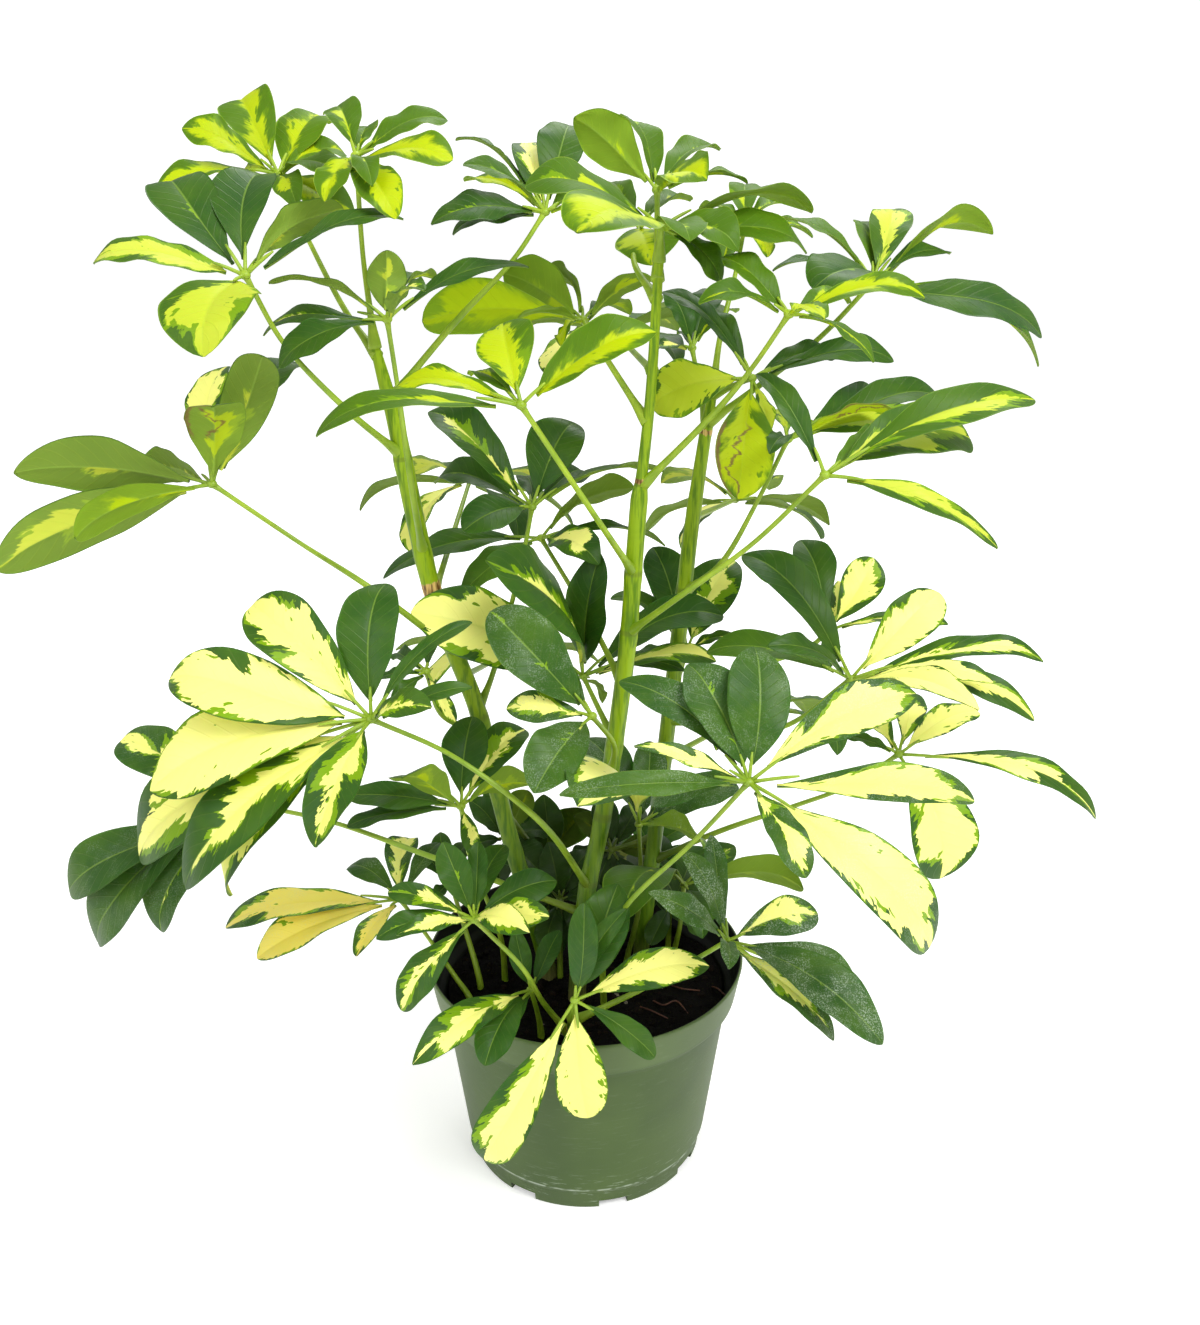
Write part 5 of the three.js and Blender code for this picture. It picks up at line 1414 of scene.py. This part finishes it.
for k in range(BITS):
    far, turn = SCATTER * math.sqrt(luck.uniform()), luck.uniform(0, 2 * math.pi)
    size = luck.uniform(0.6, 1.9) if k > LARGE_BITS else luck.uniform(1.6, 3.2)
    points, faces = rough_stone()
    squash = [luck.uniform(0.7, 1.5), luck.uniform(0.7, 1.2), luck.uniform(0.4, 0.9)]
    spin = luck.uniform(0, math.pi)
    points = points * (size * np.array(squash))
    spun = [[math.cos(spin), -math.sin(spin)], [math.sin(spin), math.cos(spin)]]
    points[:, :2] = points[:, :2] @ np.array(spun)
    x, y = far * math.cos(turn), far * math.sin(turn)
    points = points + [x, y, SOIL_LEVEL + lump_at(x, y) - 0.5]
    join(soil_points, soil_faces, points, faces)
    is_pale = luck.uniform() < 0.05
    bit_mark.append(np.full(BIT_POINTS, luck.uniform(0.1, 1.0) if luck.uniform() < 0.5 else 0.1))
    pale_mark.append(np.full(BIT_POINTS, 0.8 if is_pale and size < 1.6 else 0.0))
soil_piece = make_piece(
    "soil_filled", np.concatenate(soil_points), soil_faces, [soil_crumb], smooth=False
)
carry(soil_piece, soil_bit=np.concatenate(bit_mark), soil_pale=np.concatenate(pale_mark))
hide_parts("soil")
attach(soil_piece, "root")
print("soil faces", len(soil_faces))

# %% Fine roots on top of the soil
ROOT_RADIUS, ROOT_RISE, ROOT_SINK = 0.42, 1.9, 0.4
ROOTS = [
    [(653, 1000), (664, 1008), (676, 1004), (690, 1016)],
    [(712, 986), (718, 992), (729, 998)],
    [(640, 1006), (652, 1014), (668, 1018)],
    [(672, 985), (684, 992), (700, 990)],
    [(540, 955), (552, 962), (561, 958)],
]
root_skin, t, shader = new_material("root_skin")
brown = blend(t, noise_of(t, place_of(t), 300.0), colour(52, 24, 16), colour(96, 54, 36))
feed(t, shader, Base_Color=brown, Roughness=0.6)
for number, route in enumerate(ROOTS):
    points = [on_soil(x, y) + UPWARD * ROOT_RISE for x, y in route]
    for end in (0, -1):
        points[end] = on_soil(*route[end]) - UPWARD * ROOT_SINK
    course, radii = smooth_course(points, [ROOT_RADIUS] * len(points), 24)
    root_points, root_faces = tube(course, radii, 8)
    piece = make_piece("fine_root_%d" % number, root_points, root_faces, [root_skin])
    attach(piece, "root")

# %% [markdown]
# ## Pot
#
# The nursery pot is thin moulded plastic: a tall rim band over a tapered body, a small step near
# the foot, and openings round the foot for draining. It is turned like clay on a wheel, as a
# profile spun round the axis, and the openings are cut out of it with boxes.

# %% Finish of the pot
pot_plastic, t, shader = new_material("pot_plastic")
place = place_of(t)
split = node_of(t, "SeparateXYZ", place)
height = split["Z"]
tone = noise_of(t, place, 14.0, 3.0, 0.55)
green = blend(t, soft_step(t, tone, 0.3, 0.7), colour(60, 82, 33), colour(73, 95, 41))
# Scratches lie round the pot, most of them near its foot, and the step there is scuffed white.
scratch = noise_of(t, stretched(t, place, 8.0), 90.0, 4.0, 0.7)
low_down = scaled(t, soft_step(t, height, 0.03, 0.008), 0.5, 0.05)
wear = times(t, soft_step(t, scratch, 0.56, 0.68), low_down)
green = blend(t, wear, green, colour(168, 182, 158))
off_step = sums(t, "ABSOLUTE", sums(t, "SUBTRACT", height, 0.0136))
patchy = soft_step(t, noise_of(t, place, 120.0, 2.0), 0.42, 0.6)
scuff = times(t, times(t, soft_step(t, off_step, 0.0009, 0.0002), patchy), 0.6)
green = blend(t, scuff, green, colour(184, 196, 176))
# The rim band is painted a little lighter than the body.
green = blend(t, soft_step(t, height, 0.094, 0.099, 0.0, 0.3), green, colour(118, 138, 90))
# The inner wall, whose face looks towards the axis, is painted near black as shade.
outwards = vector(t, split["X"], split["Y"])
facing = vector_sums(t, "DOT_PRODUCT", node_of(t, "TexCoord")["Normal"], outwards)
grain = noise_of(t, place, 2200.0, 2.0, 0.6)
feed(
    t, shader, Base_Color=blend(t, soft_step(t, facing, 0.012, -0.03), green, colour(15, 18, 12)),
    Roughness=scaled(t, grain, 0.12, 0.44), Specular_IOR_Level=0.35,
    Normal=bumped(t, grain, 0.18, 0.0002),
)

# %% Turn the pot and cut its openings
POT_SIDES, FOOT_RADIUS = 160, 62.2
PROFILE = [
    (60.6, 0.0), (61.8, 0.3), (62.2, 1.0), (63.0, 10.2), (63.9, 11.4), (64.8, 13.2), (65.0, 14.2),
    (74.7, 90.2), (75.3, 92.4), (76.6, 94.2), (78.4, 95.4), (79.2, 96.2), (79.5, 97.4),
    (82.2, 112.6), (82.5, 113.9), (82.3, 114.7), (81.7, 115.0), (81.1, 114.8), (80.8, 114.2),
    (77.9, 97.4), (77.0, 96.3), (75.0, 94.6), (73.6, 92.4), (73.2, 90.2), (63.4, 14.2),
    (60.6, 2.9), (59.8, 2.4),
]
pot_points = np.concatenate([level_ring(radius, z, POT_SIDES) for radius, z in PROFILE])
pot_faces = barrel_faces(len(PROFILE), POT_SIDES)
pot_piece = make_piece("pot_turned", pot_points, pot_faces, [pot_plastic])

NOTCHES, NOTCH_WIDTH, NOTCH_HEIGHT, NOTCH_DEPTH = 8, 15.0, 4.5, 7.0
BOX_FACES = [(0, 2, 3, 1), (4, 5, 7, 6), (0, 1, 5, 4), (2, 6, 7, 3), (0, 4, 6, 2), (1, 3, 7, 5)]
cutter_points, cutter_faces = [], []
for k in range(NOTCHES):
    turn = 2 * math.pi * (k + 0.3) / NOTCHES
    out = np.array([math.cos(turn), math.sin(turn), 0])
    side = np.array([-math.sin(turn), math.cos(turn), 0])
    corners = [
        out * (FOOT_RADIUS + a * NOTCH_DEPTH)
        + side * b * NOTCH_WIDTH / 2
        + UPWARD * (c * NOTCH_HEIGHT)
        for c in (-1, 1) for b in (-1, 1) for a in (-1, 1)
    ]
    join(cutter_points, cutter_faces, corners, BOX_FACES)
cutter = make_piece(
    "drain_cutter", np.concatenate(cutter_points), cutter_faces, [pot_plastic], smooth=False
)
cut = pot_piece.modifiers.new("drains", "BOOLEAN")
cut.operation, cut.object, cut.solver = "DIFFERENCE", cutter, "EXACT"
bpy.context.view_layer.update()
seen_pot = pot_piece.evaluated_get(bpy.context.evaluated_depsgraph_get())
shaped = bpy.data.meshes.new_from_object(seen_pot)
pot_piece.modifiers.clear()
pot_piece.data = shaped
bpy.data.objects.remove(cutter)
shaped.set_sharp_from_angle(angle=math.radians(50))
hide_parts("pot")
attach(pot_piece, "root")
print("pot faces", len(pot_piece.data.polygons))

# %% [markdown]
# ## Studio
#
# The photograph is a bright one on white, so the floor and the world are white and broad soft
# lights shape the leaves. Floor and world are seen brighter than they light the plant, which a
# Light Path node does, so that the white stays white while the leaves keep their shading.

# %% Floor
FLOOR_HALF, FLOOR_LIGHT = 14000, 0.26
white = (1.0, 1.0, 1.0, 1.0)
floor_paint, t, shader = new_material("studio_white")
seen = node_of(t, "LightPath")["Is Camera Ray"]
# The floor glows: a little for every ray, which lights the plant from below, and more for the eye,
# least near the pot so that the shadows there show.
lift = soft_step(t, vector_sums(t, "LENGTH", place_of(t)), 0.25, 1.1, 0.12, 0.36)
feed(
    t, shader, Base_Color=(0.9, 0.9, 0.9, 1.0), Roughness=0.9, Emission_Color=white,
    Emission_Strength=scaled(t, seen, lift, FLOOR_LIGHT),
)
floor_points = [(x, y, 0.0) for x in (-FLOOR_HALF, FLOOR_HALF) for y in (-FLOOR_HALF, FLOOR_HALF)]
floor = make_piece("studio_floor", floor_points, [(0, 2, 3, 1)], [floor_paint])

# %% Lights
WORLD_SEEN, WORLD_LIGHT = 1.2, 0.46
AIM = Vector((0.0, 0.0, 0.28))
bpy.context.scene.view_settings.view_transform = "Standard"
world = bpy.data.worlds.new("studio")
bpy.context.scene.world = world
world.use_nodes = True
sky = world.node_tree
seen = node_of(sky, "LightPath")["Is Camera Ray"]
strength = scaled(sky, seen, WORLD_SEEN - WORLD_LIGHT, WORLD_LIGHT)
feed(sky, sky.nodes["Background"], Color=white, Strength=strength)


def soft_light(name, place, size, power):
    data = bpy.data.lights.new(name, "AREA")
    data.shape, data.size, data.size_y, data.energy = "RECTANGLE", size, size, power
    lamp = bpy.data.objects.new(name, data)
    lamp.location = place
    lamp.rotation_euler = (AIM - Vector(place)).to_track_quat("-Z", "Y").to_euler()
    bpy.context.scene.collection.objects.link(lamp)


soft_light("key", (0.9, -1.0, 1.8), 1.0, 38.0)
soft_light("fill", (-1.2, -1.2, 1.1), 1.2, 12.0)
soft_light("back", (0.2, 1.1, 1.7), 1.0, 12.0)
print("lights set")

# %% Finish
bpy.context.view_layer.update()
